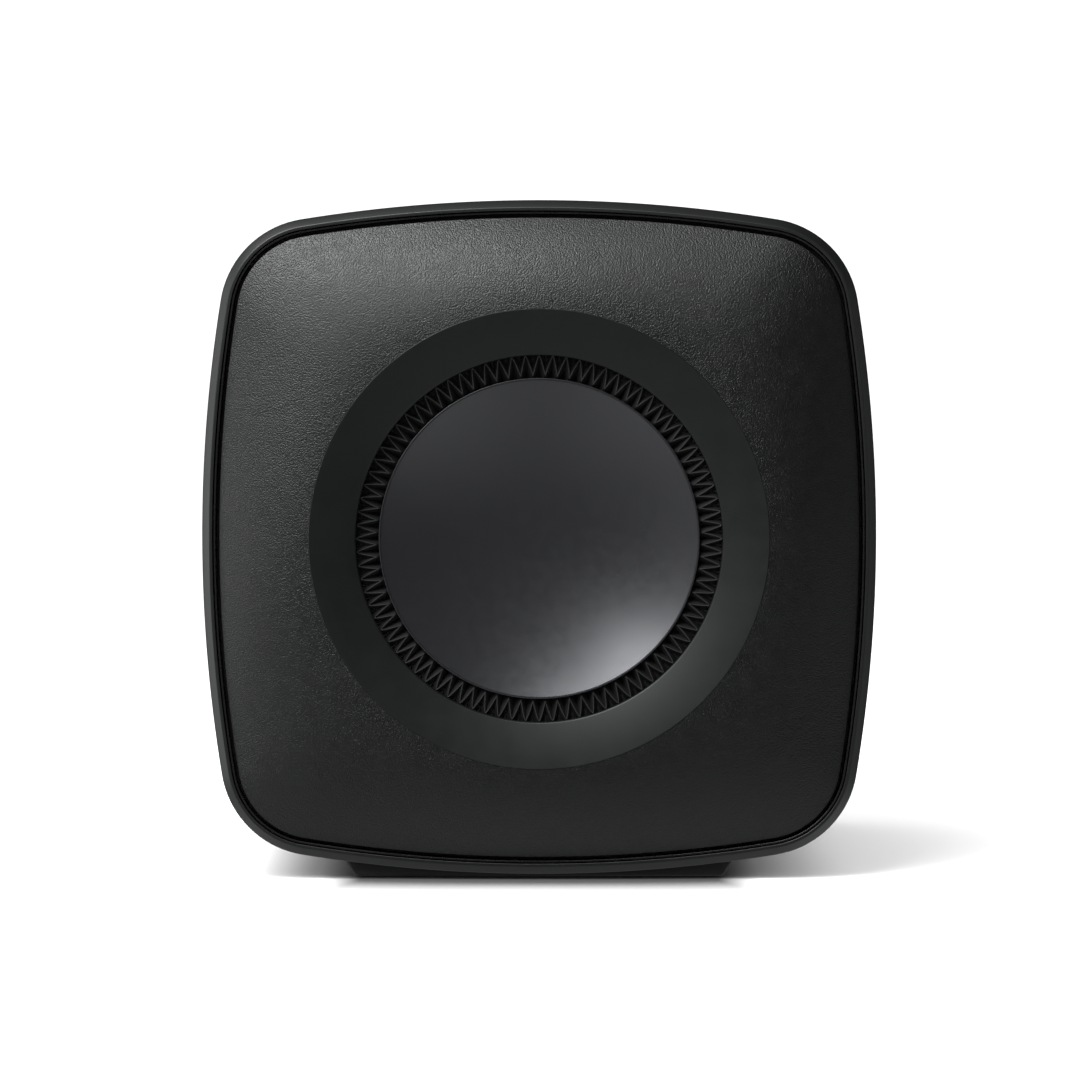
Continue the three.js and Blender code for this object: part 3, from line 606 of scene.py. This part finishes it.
def make_sleeve():
    end = SLEEVE_END
    section = rounded([
        (SLEEVE_WALL, -end, 0.25 * MM),
        (SLEEVE_WALL, end, 0.25 * MM),
        (SLEEVE_CHAMFER, end, 0.5 * MM),
        (0, end - SLEEVE_CHAMFER, 1.2 * MM),
        (0, -end + SLEEVE_CHAMFER, 1.2 * MM),
        (SLEEVE_CHAMFER, -end, 0.5 * MM),
    ])
    sleeve = loft("sleeve_shell", [outline_ring(inset, y) for inset, y in section])
    slack = 0.4 * MM
    size = (RECESS_WIDTH + 2 * slack, RECESS_HEIGHT + 2 * slack)
    cutter = to_panel(slab("opening", size, -20 * MM, 40 * MM, 0.1 * MM, RECESS_CORNER))
    finish_piece(cut(sleeve, cutter), "sleeve", nodes=["cabinet_sleeve"])


def make_foot():
    """Low foot whose top follows the sleeve's underside; its ends lean in and its edges are rounded."""
    top_half = FOOT_HIGH.x
    bottom_half = top_half - 3.5 * MM
    bottom = FOOT_LOW.z - 0.4 * MM
    steps = 40
    underside = []
    for step in range(steps + 1):
        x = top_half * (1 - 2 * step / steps)
        arch = SIDE_RADIUS - math.sqrt(SIDE_RADIUS ** 2 - x ** 2)
        underside.append(Vector((x, sleeve_low.z + arch - 0.3 * MM)))
    left = fillet_arc(underside[-1], Vector((-bottom_half, bottom)), Vector((0, bottom)), 2.2 * MM)
    right = fillet_arc(Vector((0, bottom)), Vector((bottom_half, bottom)), underside[0], 2.2 * MM)
    section = left + right + underside
    near_end = [(0.985, -1), (0.994, -0.9985), (1, -0.994)]
    far_end = [(share, -y) for share, y in reversed(near_end)]
    ends = []
    for share, y in near_end + far_end:
        ends.append([Vector((point.x * share, y * FOOT_HIGH.y, point.y)) for point in section])
    foot = cap(loft("foot", ends, closed=False), len(section), len(ends))
    finish_piece(foot, "foot", nodes=["base_foot"])


# ---- End panels and drivers ------------------------------------------------------------------

def place_side(obj, side):
    obj.data.transform(SIDES[side])
    return obj


def pillow_height(share, length):
    """Place along the driver axis of the side panel's face, at `share` of the way in along a line
    of that length from its outline to the bezel."""
    edge = min(share * length / PANEL_ROUND, 1)
    round_over = PANEL_ROUND * math.sqrt(max(0.0, 1 - (1 - edge) ** 2))
    pillow = PANEL_STRAIGHT * share + (1 - PANEL_STRAIGHT) * (1 - (1 - share) ** 2)
    return PANEL_EDGE - PANEL_ROUND + round_over + (PANEL_CROWN - PANEL_EDGE) * pillow


def make_side_panel(side):
    hole = BEZEL_RADIUS + 0.05 * MM
    thickness = 3 * MM
    outer = outline_ring(PANEL_INSET, 0)
    inner = circle_ring(hole, 0)
    steps = 56
    rings = [outline_ring(PANEL_INSET + inset, PANEL_LOW.y) for inset in (thickness, 0)]
    for step in range(steps + 1):
        share = (step / steps) ** 2
        ring = []
        for start, stop in zip(outer, inner):
            point = start.lerp(stop, share)
            point.y = pillow_height(share, (stop - start).length)
            ring.append(point)
        rings.append(ring)
    rings.append(circle_ring(hole, PANEL_LOW.y))
    rings.append(circle_ring(hole + thickness, PANEL_LOW.y))
    rings.append(circle_ring(hole + thickness, PANEL_CROWN - 4 * MM))
    panel = loft(f"side_panel_skin_{side}", rings[::-1])
    finish_piece(place_side(panel, side), "skin", nodes=[f"side_panel_{side}"])


def make_trim_lip(side):
    inset = HALF_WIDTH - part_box(f"trim_lip_{side}")[1].x
    section = rounded([
        (inset + 0.8 * MM, LIP_HIGH.y - 8 * MM, 0),
        (inset + 0.8 * MM, LIP_HIGH.y, 0.3 * MM),
        (inset, LIP_HIGH.y, 0.3 * MM),
        (inset, LIP_HIGH.y - 8 * MM, 0),
    ])
    lip = loft(f"trim_{side}", [outline_ring(across, y) for across, y in section])
    finish_piece(place_side(lip, side), "trim", nodes=[f"trim_lip_{side}"])


def make_bezel(side):
    lip = BEZEL_HIGH.y
    inner_top = lip - BEZEL_DISH
    section = rounded([
        (BEZEL_RADIUS - 3 * MM, BEZEL_LOW.y, 0.2 * MM),
        (BEZEL_RADIUS, BEZEL_LOW.y, 0.2 * MM),
        (BEZEL_RADIUS, lip, 0.2 * MM),
        (SURROUND_RADIUS, inner_top, 0.8 * MM),
        (SURROUND_RADIUS, inner_top - 3.4 * MM, 0.2 * MM),
        (SURROUND_RADIUS + 1.5 * MM, inner_top - 3.4 * MM, 0.2 * MM),
        (BEZEL_RADIUS - 3 * MM, lip - 4.5 * MM, 0.2 * MM),
    ])
    bezel = turned(f"bezel_{side}", section)
    finish_piece(place_side(bezel, side), "bezel", nodes=[f"bezel_ring_{side}"])


def make_cone(side):
    """One-piece dish with a rounded rim."""
    def dish(radius):
        return CONE_RIM - 0.3 * MM - CONE_DEPTH * (1 - (radius / CONE_RADIUS) ** 2)

    rings = 30
    shoulder = CONE_RADIUS - 0.7 * MM
    front = [Vector((shoulder * i / rings, dish(shoulder * i / rings))) for i in range(rings + 1)]
    rim = [
        Vector((CONE_RADIUS - 0.45 * MM, CONE_RIM - 0.05 * MM)),
        Vector((CONE_RADIUS - 0.22 * MM, CONE_RIM)),
        Vector((CONE_RADIUS - 0.06 * MM, CONE_RIM - 0.06 * MM)),
        Vector((CONE_RADIUS, CONE_RIM - 0.22 * MM)),
        Vector((CONE_RADIUS, CONE_RIM - 1.1 * MM)),
        Vector((CONE_RADIUS - 1 * MM, CONE_RIM - 1.3 * MM)),
    ]
    back = [Vector((radius, dish(radius) - 2 * MM)) for radius in (50 * MM, 36 * MM, 20 * MM, 0)]
    cone = turned(f"cone_dish_{side}", front + rim + back, closed=False)
    finish_piece(place_side(cone, side), "cone_metal", f"{side}_cone", [f"cone_{side}"])


def ridge_place(share):
    """How far out the zigzag crest lies, from 0 at the cone to 1 at the bezel, across one pleat.

    The crest is rounded where it meets the bezel and comes to a point at the cone.
    """
    low, high, rounding = 0.09, 0.95, 0.07
    aside = abs(math.remainder(share, 1))
    fall = (math.hypot(aside, rounding) - rounding) / (math.hypot(0.5, rounding) - rounding)
    return high - (high - low) * fall


def distance_to_crest(x, y, pitch, width):
    """Distance from a point to the zigzag crest, in the unrolled ring."""
    steps = 24
    shares = [step / steps for step in range(-steps // 2, steps * 3 // 2 + 1)]
    crest = [Vector((share * pitch, ridge_place(share) * width)) for share in shares]
    point = Vector((x, y))
    nearest = width
    for start, stop in zip(crest, crest[1:]):
        along = stop - start
        share = min(1, max(0, (point - start).dot(along) / along.length_squared))
        nearest = min(nearest, (point - start - along * share).length)
    return nearest


def pleat_rows(crest, width):
    """Places across the ring for one column of points, with rows kept along the crest."""
    band = 0.55 * MM / width
    inner = min(band, 0.6 * crest)
    outer = min(band, 0.6 * (1 - crest))
    rows = [(crest - inner) * share for share in (0, 0.2, 0.4, 0.6, 0.8, 0.92)]
    rows += [crest - inner, crest - inner * 0.5, crest, crest + outer * 0.5, crest + outer]
    rows += [crest + outer + (1 - crest - outer) * share for share in (0.08, 0.2, 0.4, 0.6, 0.8, 1)]
    return rows


def make_surround(side):
    """Ring of pleats: a zigzag crest with steep walls that fall away from it on both sides."""
    inner_radius = CONE_RADIUS + 0.15 * MM
    width = SURROUND_RADIUS + 0.25 * MM - inner_radius
    pitch = 2 * math.pi * (inner_radius + width / 2) / PLEATS
    crest_height = CONE_RIM - 0.5 * MM
    crest_half = 0.10 * MM
    slope = 1.75
    columns = 16
    count = PLEATS * columns
    profile = []
    for column in range(columns):
        share = column / columns
        line = []
        for place in pleat_rows(ridge_place(share), width):
            gap = distance_to_crest(share * pitch, place * width, pitch, width)
            drop = slope * max(0, gap - crest_half)
            aside = abs(share - 0.5) * pitch
            fold = 0.9 * MM + 3 * MM * (1 - place) + slope * aside
            # Painted highlight: paler colour along the crest, and along the fold in the outer half of each pleat.
            crest = (0.65 + 0.45 * place) * max(0.0, 1 - gap / (0.20 * MM))
            crease = max(0.0, 1 - aside / (0.25 * MM)) * max(0.0, place - 0.45)
            line.append((place, crest_height - min(drop, fold), max(crest, 0.6 * crease)))
        profile.append(line)
    rows = len(profile[0])
    rings = [[] for _ in range(rows + 4)]
    weights, crest_highlights = [[] for _ in rings], [[] for _ in rings]
    edge = [
        (inner_radius - 1.4 * MM, CONE_RIM - 2.6 * MM, 1.0),
        (inner_radius - 0.1 * MM, CONE_RIM - 1.5 * MM, 1.0),
        (inner_radius + width + 0.1 * MM, crest_height + 0.3 * MM, 0.0),
        (inner_radius + width + 4 * MM, crest_height - 1.6 * MM, 0.0),
    ]
    for step in range(count):
        angle = math.pi / 2 - 2 * math.pi * step / count
        line = profile[step % columns]
        points = [(inner_radius + width * place, y, 1 - place, crest) for place, y, crest in line]
        before = [(*edge[0], 0.0), (*edge[1], 0.0)]
        after = [(*edge[2], 0.0), (*edge[3], 0.0)]
        for row, (radius, y, weight, crest) in enumerate(before + points + after):
            rings[row].append(Vector((radius * math.cos(angle), y, CENTRE_Z + radius * math.sin(angle))))
            weights[row].append(weight * weight * (3 - 2 * weight))
            crest_highlights[row].append(crest)
    surround = loft(f"pleated_surround_{side}", rings, closed=False, sharp_degrees=30)
    place_side(surround, side)
    surround.data.materials.append(MATERIALS["surround_rubber"])
    crest_highlight_attribute = surround.data.attributes.new("crest", "FLOAT", "POINT")
    crest_highlight_attribute.data.foreach_set("value", [value for row in crest_highlights for value in row])
    direction = 1 if side == "far" else -1
    start = (0, direction * (CONE_RIM + 10 * MM), CENTRE_Z)
    stop = (0, direction * (CONE_RIM - 10 * MM), CENTRE_Z)
    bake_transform(surround, "cabinet", f"{side}_cone", start, stop)
    blend_weights = surround.data.attributes["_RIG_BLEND"]
    blend_weights.data.foreach_set("value", [value for row in weights for value in row])
    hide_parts(f"surround_{side}")


# ---- Rear panel ------------------------------------------------------------------------------

def make_knob(name):
    """Fluted knob with a pointer line."""
    low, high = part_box(name)
    u, v = panel_place(name)
    radius = (high.y - low.y) / 2
    top = high.x - PLATE_FACE_X
    flutes = 30
    steps = flutes * 8
    section = [
        (0, 0.6 * MM, 0), (radius - 0.6 * MM, 0.6 * MM, 0), (radius - 0.1 * MM, 1.2 * MM, 0.5),
        (radius, 2 * MM, 1), (radius, top - 1.2 * MM, 1), (radius - 0.3 * MM, top - 0.5 * MM, 0.6),
        (radius - 1 * MM, top, 0), (radius - 1.6 * MM, top, 0), (radius - 2.2 * MM, top - 0.25 * MM, 0),
        (0, top - 0.25 * MM, 0),
    ]
    rings = []
    for reach, depth, fluted in section:
        ring = []
        for step in range(steps):
            angle = 2 * math.pi * step / steps
            groove = 0.28 * MM * fluted * max(0, math.cos(angle * flutes)) ** 2
            across = max(reach - groove, LEAST_RADIUS)
            ring.append(Vector((across * math.cos(angle), across * math.sin(angle), depth)))
        rings.append(ring)
    knob = to_panel(loft(f"{name}_cap", rings, closed=False), (u, v))
    finish_piece(knob, "control_plastic", name, [name])
    mark = slab(f"{name}_pointer", (0.8 * MM, radius * 0.62), top - 0.3 * MM, top + 0.02 * MM, 0.08 * MM)
    mark.data.transform(Matrix.Translation((0, radius * 0.56, 0)))
    finish_piece(to_panel(mark, (u, v)), PAINT, name)


def make_scale(name):
    """Painted ticks round a knob, from one end of its turn to the other."""
    joint = next(j for j in frame["joints"] if j["child"] == name)
    low, high = joint["range_deg"]
    ticks = 11
    marks = []
    for index in range(ticks):
        angle = math.radians(low + (high - low) * index / (ticks - 1))
        long_tick = index in (0, ticks // 2, ticks - 1)
        length = (2.2 if long_tick else 1.4) * MM
        tick = slab(f"{name}_tick_{index}", (0.35 * MM, length), 0, 0.06 * MM, 0.02 * MM)
        outwards = Matrix.Translation((0, 10.2 * MM + length / 2, 0))
        tick.data.transform(Matrix.Rotation(angle, 4, "Z") @ outwards)
        marks.append(to_panel(tick, panel_place(name)))
    finish_piece(join(f"{name}_scale", marks), PAINT)


def make_rocker_marks():
    """Generic on and off marks, a bar and a ring, on the two faces of the power rocker."""
    switch = panel_place("power_switch_frame")
    tilt = math.radians(8)
    thick, reach = 0.05 * MM, 4.4 * MM
    bar = slab("on_bar", (0.6 * MM, 2.8 * MM), -thick, thick, 0.02 * MM)
    ring_section = [(1.5 * MM, -thick), (1.5 * MM, thick), (1.0 * MM, thick), (1.0 * MM, -thick)]
    ring = turned_up("off_ring", ring_section, closed=True)
    for mark, side in ((bar, 1), (ring, -1)):
        on_face = Vector((0, side * reach, ROCKER_VALLEY + reach * math.tan(ROCKER_FACE_SLOPE)))
        face_turn = Matrix.Rotation(side * ROCKER_FACE_SLOPE, 4, "X")
        rocker_turn = Matrix.Rotation(tilt, 4, "X")
        mark.data.transform(rocker_turn @ Matrix.Translation(on_face) @ face_turn)
        finish_piece(to_panel(mark, switch), PAINT, "power_rocker")


def make_legend(name, place, size):
    """Painted frame round a socket or a pair of them."""
    line, thickness, corner = 0.35 * MM, 0.06 * MM, 2 * MM
    section = ((0, 0), (0, thickness), (line, thickness), (line, 0))
    rings = [rectangle_ring(size, corner, inset, depth) for inset, depth in section]
    finish_piece(to_panel(loft(name, rings), place), PAINT)


def make_line_pair(node, inserts):
    """Two phono sockets: a moulded block, plated collars and coloured inserts."""
    u, v = panel_place(node)
    low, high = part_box(node)
    width, height = high.y - low.y, high.z - low.z
    block = slab(f"{node}_block", (width, height), low.x - PLATE_FACE_X, 1.2 * MM, 0.5 * MM, 1 * MM)
    finish_piece(to_panel(block, (u, v)), "socket_plastic", nodes=[node])
    top = high.x - PLATE_FACE_X
    for index, insert in enumerate(inserts):
        place = (u + (index - 0.5) * width / 2, v)
        collar = turned_up(f"{node}_collar_{index}", rounded([
            (6 * MM, 1.2 * MM, 0), (6 * MM, 2 * MM, 0.2 * MM), (4.15 * MM, 2 * MM, 0.2 * MM),
            (4.15 * MM, top, 0.3 * MM), (3.45 * MM, top, 0.2 * MM), (3.45 * MM, 1.2 * MM, 0),
        ], closed=False))
        finish_piece(to_panel(collar, place), GOLD)
        core = turned_up(f"{node}_insert_{index}", rounded([
            (3.45 * MM, 2 * MM, 0), (3.45 * MM, top - 1.2 * MM, 0.2 * MM),
            (1.6 * MM, top - 1.2 * MM, 0.2 * MM), (1.6 * MM, 2 * MM, 0), (0, 2 * MM, 0),
        ], closed=False))
        finish_piece(to_panel(core, place), insert)


def make_contacts(node, places, size, low, high, material):
    """Plated contacts over the plain ones of a socket."""
    u, v = panel_place(node)
    blades = []
    for index, (du, dv) in enumerate(places):
        blade = slab(f"{node}_blade_{index}", size, low, high, 0.25 * MM)
        blades.append(to_panel(blade, (u + du, v + dv)))
    finish_piece(join(f"{node}_contacts", blades), material)


def make_screw(name, place):
    """Pan-head screw with a six-sided recess."""
    steps = 36
    head, recess = 2.9 * MM, 1.25 * MM

    def hexagon(angle):
        turn = math.remainder(angle, math.pi / 3)
        return recess * math.cos(math.pi / 6) / math.cos(turn)

    def ring_at(depth, reach_at):
        angles = [2 * math.pi * step / steps for step in range(steps)]
        return [
            Vector((reach_at(angle) * math.cos(angle), reach_at(angle) * math.sin(angle), depth))
            for angle in angles
        ]

    rows = [
        (head, 0.0), (head, 0.5 * MM), (head * 0.93, 1.05 * MM), (head * 0.75, 1.4 * MM),
        (recess * 1.25, 1.6 * MM),
    ]
    rings = [ring_at(depth, lambda angle: radius) for radius, depth in rows]
    for scale, depth in ((1, 1.62 * MM), (1, 0.5 * MM), (0.02, 0.4 * MM)):
        rings.append(ring_at(depth, lambda angle: hexagon(angle) * scale))
    screw = to_panel(loft(name, rings, closed=False), place)
    finish_piece(screw, SCREW)


def soften(node, width):
    """Rounds the edges of a carried-over CAD node."""
    obj = frame["nodes"][node]
    flat = obj.modifiers.new("flat_faces", "DECIMATE")
    flat.decimate_type = "DISSOLVE"
    flat.angle_limit = math.radians(1)
    bevel = obj.modifiers.new("edges", "BEVEL")
    bevel.width = width
    bevel.segments = 2
    bevel.limit_method = "ANGLE"
    bevel.angle_limit = math.radians(40)
    bevel.harden_normals = False


def make_rear_panel():
    for knob in ("volume_knob", "crossover_knob"):
        make_knob(knob)
        make_scale(knob)
    make_line_pair("line_input_jacks", (WHITE_INSERT, RED_INSERT))
    make_line_pair("line_output_jacks", (WHITE_INSERT, RED_INSERT))
    inlet_blades = [(-7 * MM, -1.6 * MM), (7 * MM, -1.6 * MM), (0, 2.6 * MM)]
    make_contacts("power_inlet", inlet_blades, (4.2 * MM, 2.2 * MM), -13 * MM, -4.5 * MM,
                  MATERIALS["plated_steel"])
    make_contacts("speaker_terminal", [(u * MM, 0) for u in (-6, -2, 2, 6)], (1.2 * MM, 1.2 * MM),
                  -7 * MM, -4 * MM, GOLD)
    make_rocker_marks()
    for node in ("line_input_jacks", "line_output_jacks", "speaker_terminal", "power_inlet"):
        low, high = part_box(node)
        size = (high.y - low.y + 5 * MM, high.z - low.z + 5 * MM)
        make_legend(f"{node}_legend", panel_place(node), size)
    screw_inset = RECESS_WALL + 5.5 * MM
    u_reach = RECESS_WIDTH / 2 - screw_inset
    v_reach = RECESS_HEIGHT / 2 - screw_inset
    places = [(u, v) for u in (-u_reach, 0, u_reach) for v in (-v_reach, v_reach)]
    places += [(-u_reach, 0), (u_reach, 0)]
    for index, place in enumerate(places):
        make_screw(f"panel_screw_{index + 1}", place)


# ---- Carried-over CAD nodes ------------------------------------------------------------------

def dress_nodes():
    """Every CAD node takes the material of its slot."""
    for entry in frame["record"]["subparts"]:
        obj = frame["nodes"][entry["node"]]
        obj.data.materials.clear()
        obj.data.materials.append(MATERIALS[entry["material_slot"]])
    for node in ("amp_panel", "power_inlet", "speaker_terminal", "expansion_port", "panel_frame",
                 "power_switch_frame", "power_rocker", "eq_button", "phase_switch", "mode_switch",
                 "ground_switch", "status_light"):
        soften(node, 0.25 * MM)


# ---- Studio ----------------------------------------------------------------------------------

def make_camera():
    """Nearly square on to the near driver with a long lens, from a little above its height."""
    distance = 1.75
    tilt = math.radians(2.2)
    picture_width = 1.6016 * 2 * HALF_WIDTH
    centre = Vector((0.3 * MM, -(SLEEVE_END - SLEEVE_CHAMFER), CENTRE_Z - 0.8 * MM))
    camera = bpy.data.cameras.new("camera")
    camera.sensor_width = 36
    camera.lens = camera.sensor_width * distance / picture_width
    camera.clip_end = 100
    obj = bpy.data.objects.new("camera", camera)
    obj.location = centre + distance * Vector((0, -math.cos(tilt), math.sin(tilt)))
    obj.rotation_euler = (math.radians(90) - tilt, 0, 0)
    scene.collection.objects.link(obj)
    scene.camera = obj


def aim(obj, place, target):
    obj.location = place
    obj.rotation_euler = (Vector(target) - Vector(place)).to_track_quat("-Z", "Y").to_euler()
    scene.collection.objects.link(obj)


def make_softbox(name, place, target, size, power):
    light = bpy.data.lights.new(name, "AREA")
    light.shape = "RECTANGLE"
    light.size, light.size_y = size
    light.energy = power
    aim(bpy.data.objects.new(name, light), place, target)


def make_world():
    """White backdrop, even light on matt surfaces, and a dim room with a pale floor in reflections.

    The reflected floor is brighter towards both sides, where the softboxes' light lands on it.
    """
    world = bpy.data.worlds.new("studio")
    scene.world = world
    world.use_nodes = True
    world.cycles.sampling_method = "NONE"
    nodes, links = world.node_tree.nodes, world.node_tree.links

    def math_node(operation, first, second=None, third=None):
        node = nodes.new("ShaderNodeMath")
        node.operation = operation
        for socket, value in zip(node.inputs, (first, second, third)):
            if isinstance(value, (int, float)):
                socket.default_value = value
            elif value:
                links.new(value, socket)
        return node.outputs[0]

    def for_rays(kind, value, otherwise):
        mix = nodes.new("ShaderNodeMix")
        links.new(path.outputs[kind], mix.inputs["Factor"])
        links.new(otherwise, mix.inputs["A"])
        mix.inputs["B"].default_value = value
        return mix.outputs["Result"]

    path = nodes.new("ShaderNodeLightPath")
    direction = nodes.new("ShaderNodeTexCoord")
    parts = nodes.new("ShaderNodeSeparateXYZ")
    links.new(direction.outputs["Generated"], parts.inputs[0])
    floor = nodes.new("ShaderNodeMapRange")
    floor.inputs["From Min"].default_value = -0.65
    floor.inputs["From Max"].default_value = -0.2
    floor.inputs["To Min"].default_value = ROOM_FLOOR
    floor.inputs["To Max"].default_value = 0
    links.new(parts.outputs["Z"], floor.inputs["Value"])
    sideways = math_node("MULTIPLY_ADD", math_node("ABSOLUTE", parts.outputs["X"]), ROOM_SIDES, 1)
    room = math_node("MULTIPLY_ADD", floor.outputs["Result"], sideways, ROOM_WALLS)
    seen = for_rays("Is Camera Ray", BACKDROP, for_rays("Is Diffuse Ray", DOME, room))
    background = nodes["Background"]
    background.inputs["Color"].default_value = (1, 1, 1, 1)
    links.new(seen, background.inputs["Strength"])


def make_studio():
    reach = 30
    corners = [(-reach, -reach, 0), (reach, -reach, 0), (reach, reach, 0), (-reach, reach, 0)]
    floor = mesh_object("floor", corners, [(0, 1, 2, 3)])
    floor.data.materials.append(floor_paint())
    floor.visible_glossy = False
    make_world()
    middle = (0, -SLEEVE_END, CENTRE_Z)
    make_softbox("key", (-0.84, -1.14, 1.06), middle, (0.8, 0.6), 15.5)
    make_softbox("overhead", (-0.50, -0.92, 1.50), middle, (0.9, 0.45), 29)
    make_softbox("left_wall", (-1.40, -0.05, 0.20), middle, (0.5, 1.2), 5)
    make_softbox("left_strip", (-0.90, -1.10, 0.15), middle, (0.3, 0.9), 0.4)
    make_softbox("left_high", (-1.00, -0.50, 1.10), middle, (0.5, 0.5), 4)
    make_softbox("left_low", (-0.80, -0.30, 0.10), (-0.10, -0.10, 0), (0.3, 0.12), 0.4)
    make_softbox("right_wall", (1.40, -0.16, 0.10), middle, (0.5, 1.0), 0.6)
    scene.view_settings.view_transform = "Standard"


make_camera()
dress_nodes()
make_sleeve()
make_foot()
for side_name in SIDES:
    make_side_panel(side_name)
    make_trim_lip(side_name)
    make_bezel(side_name)
    make_cone(side_name)
    make_surround(side_name)
make_rear_panel()
make_studio()
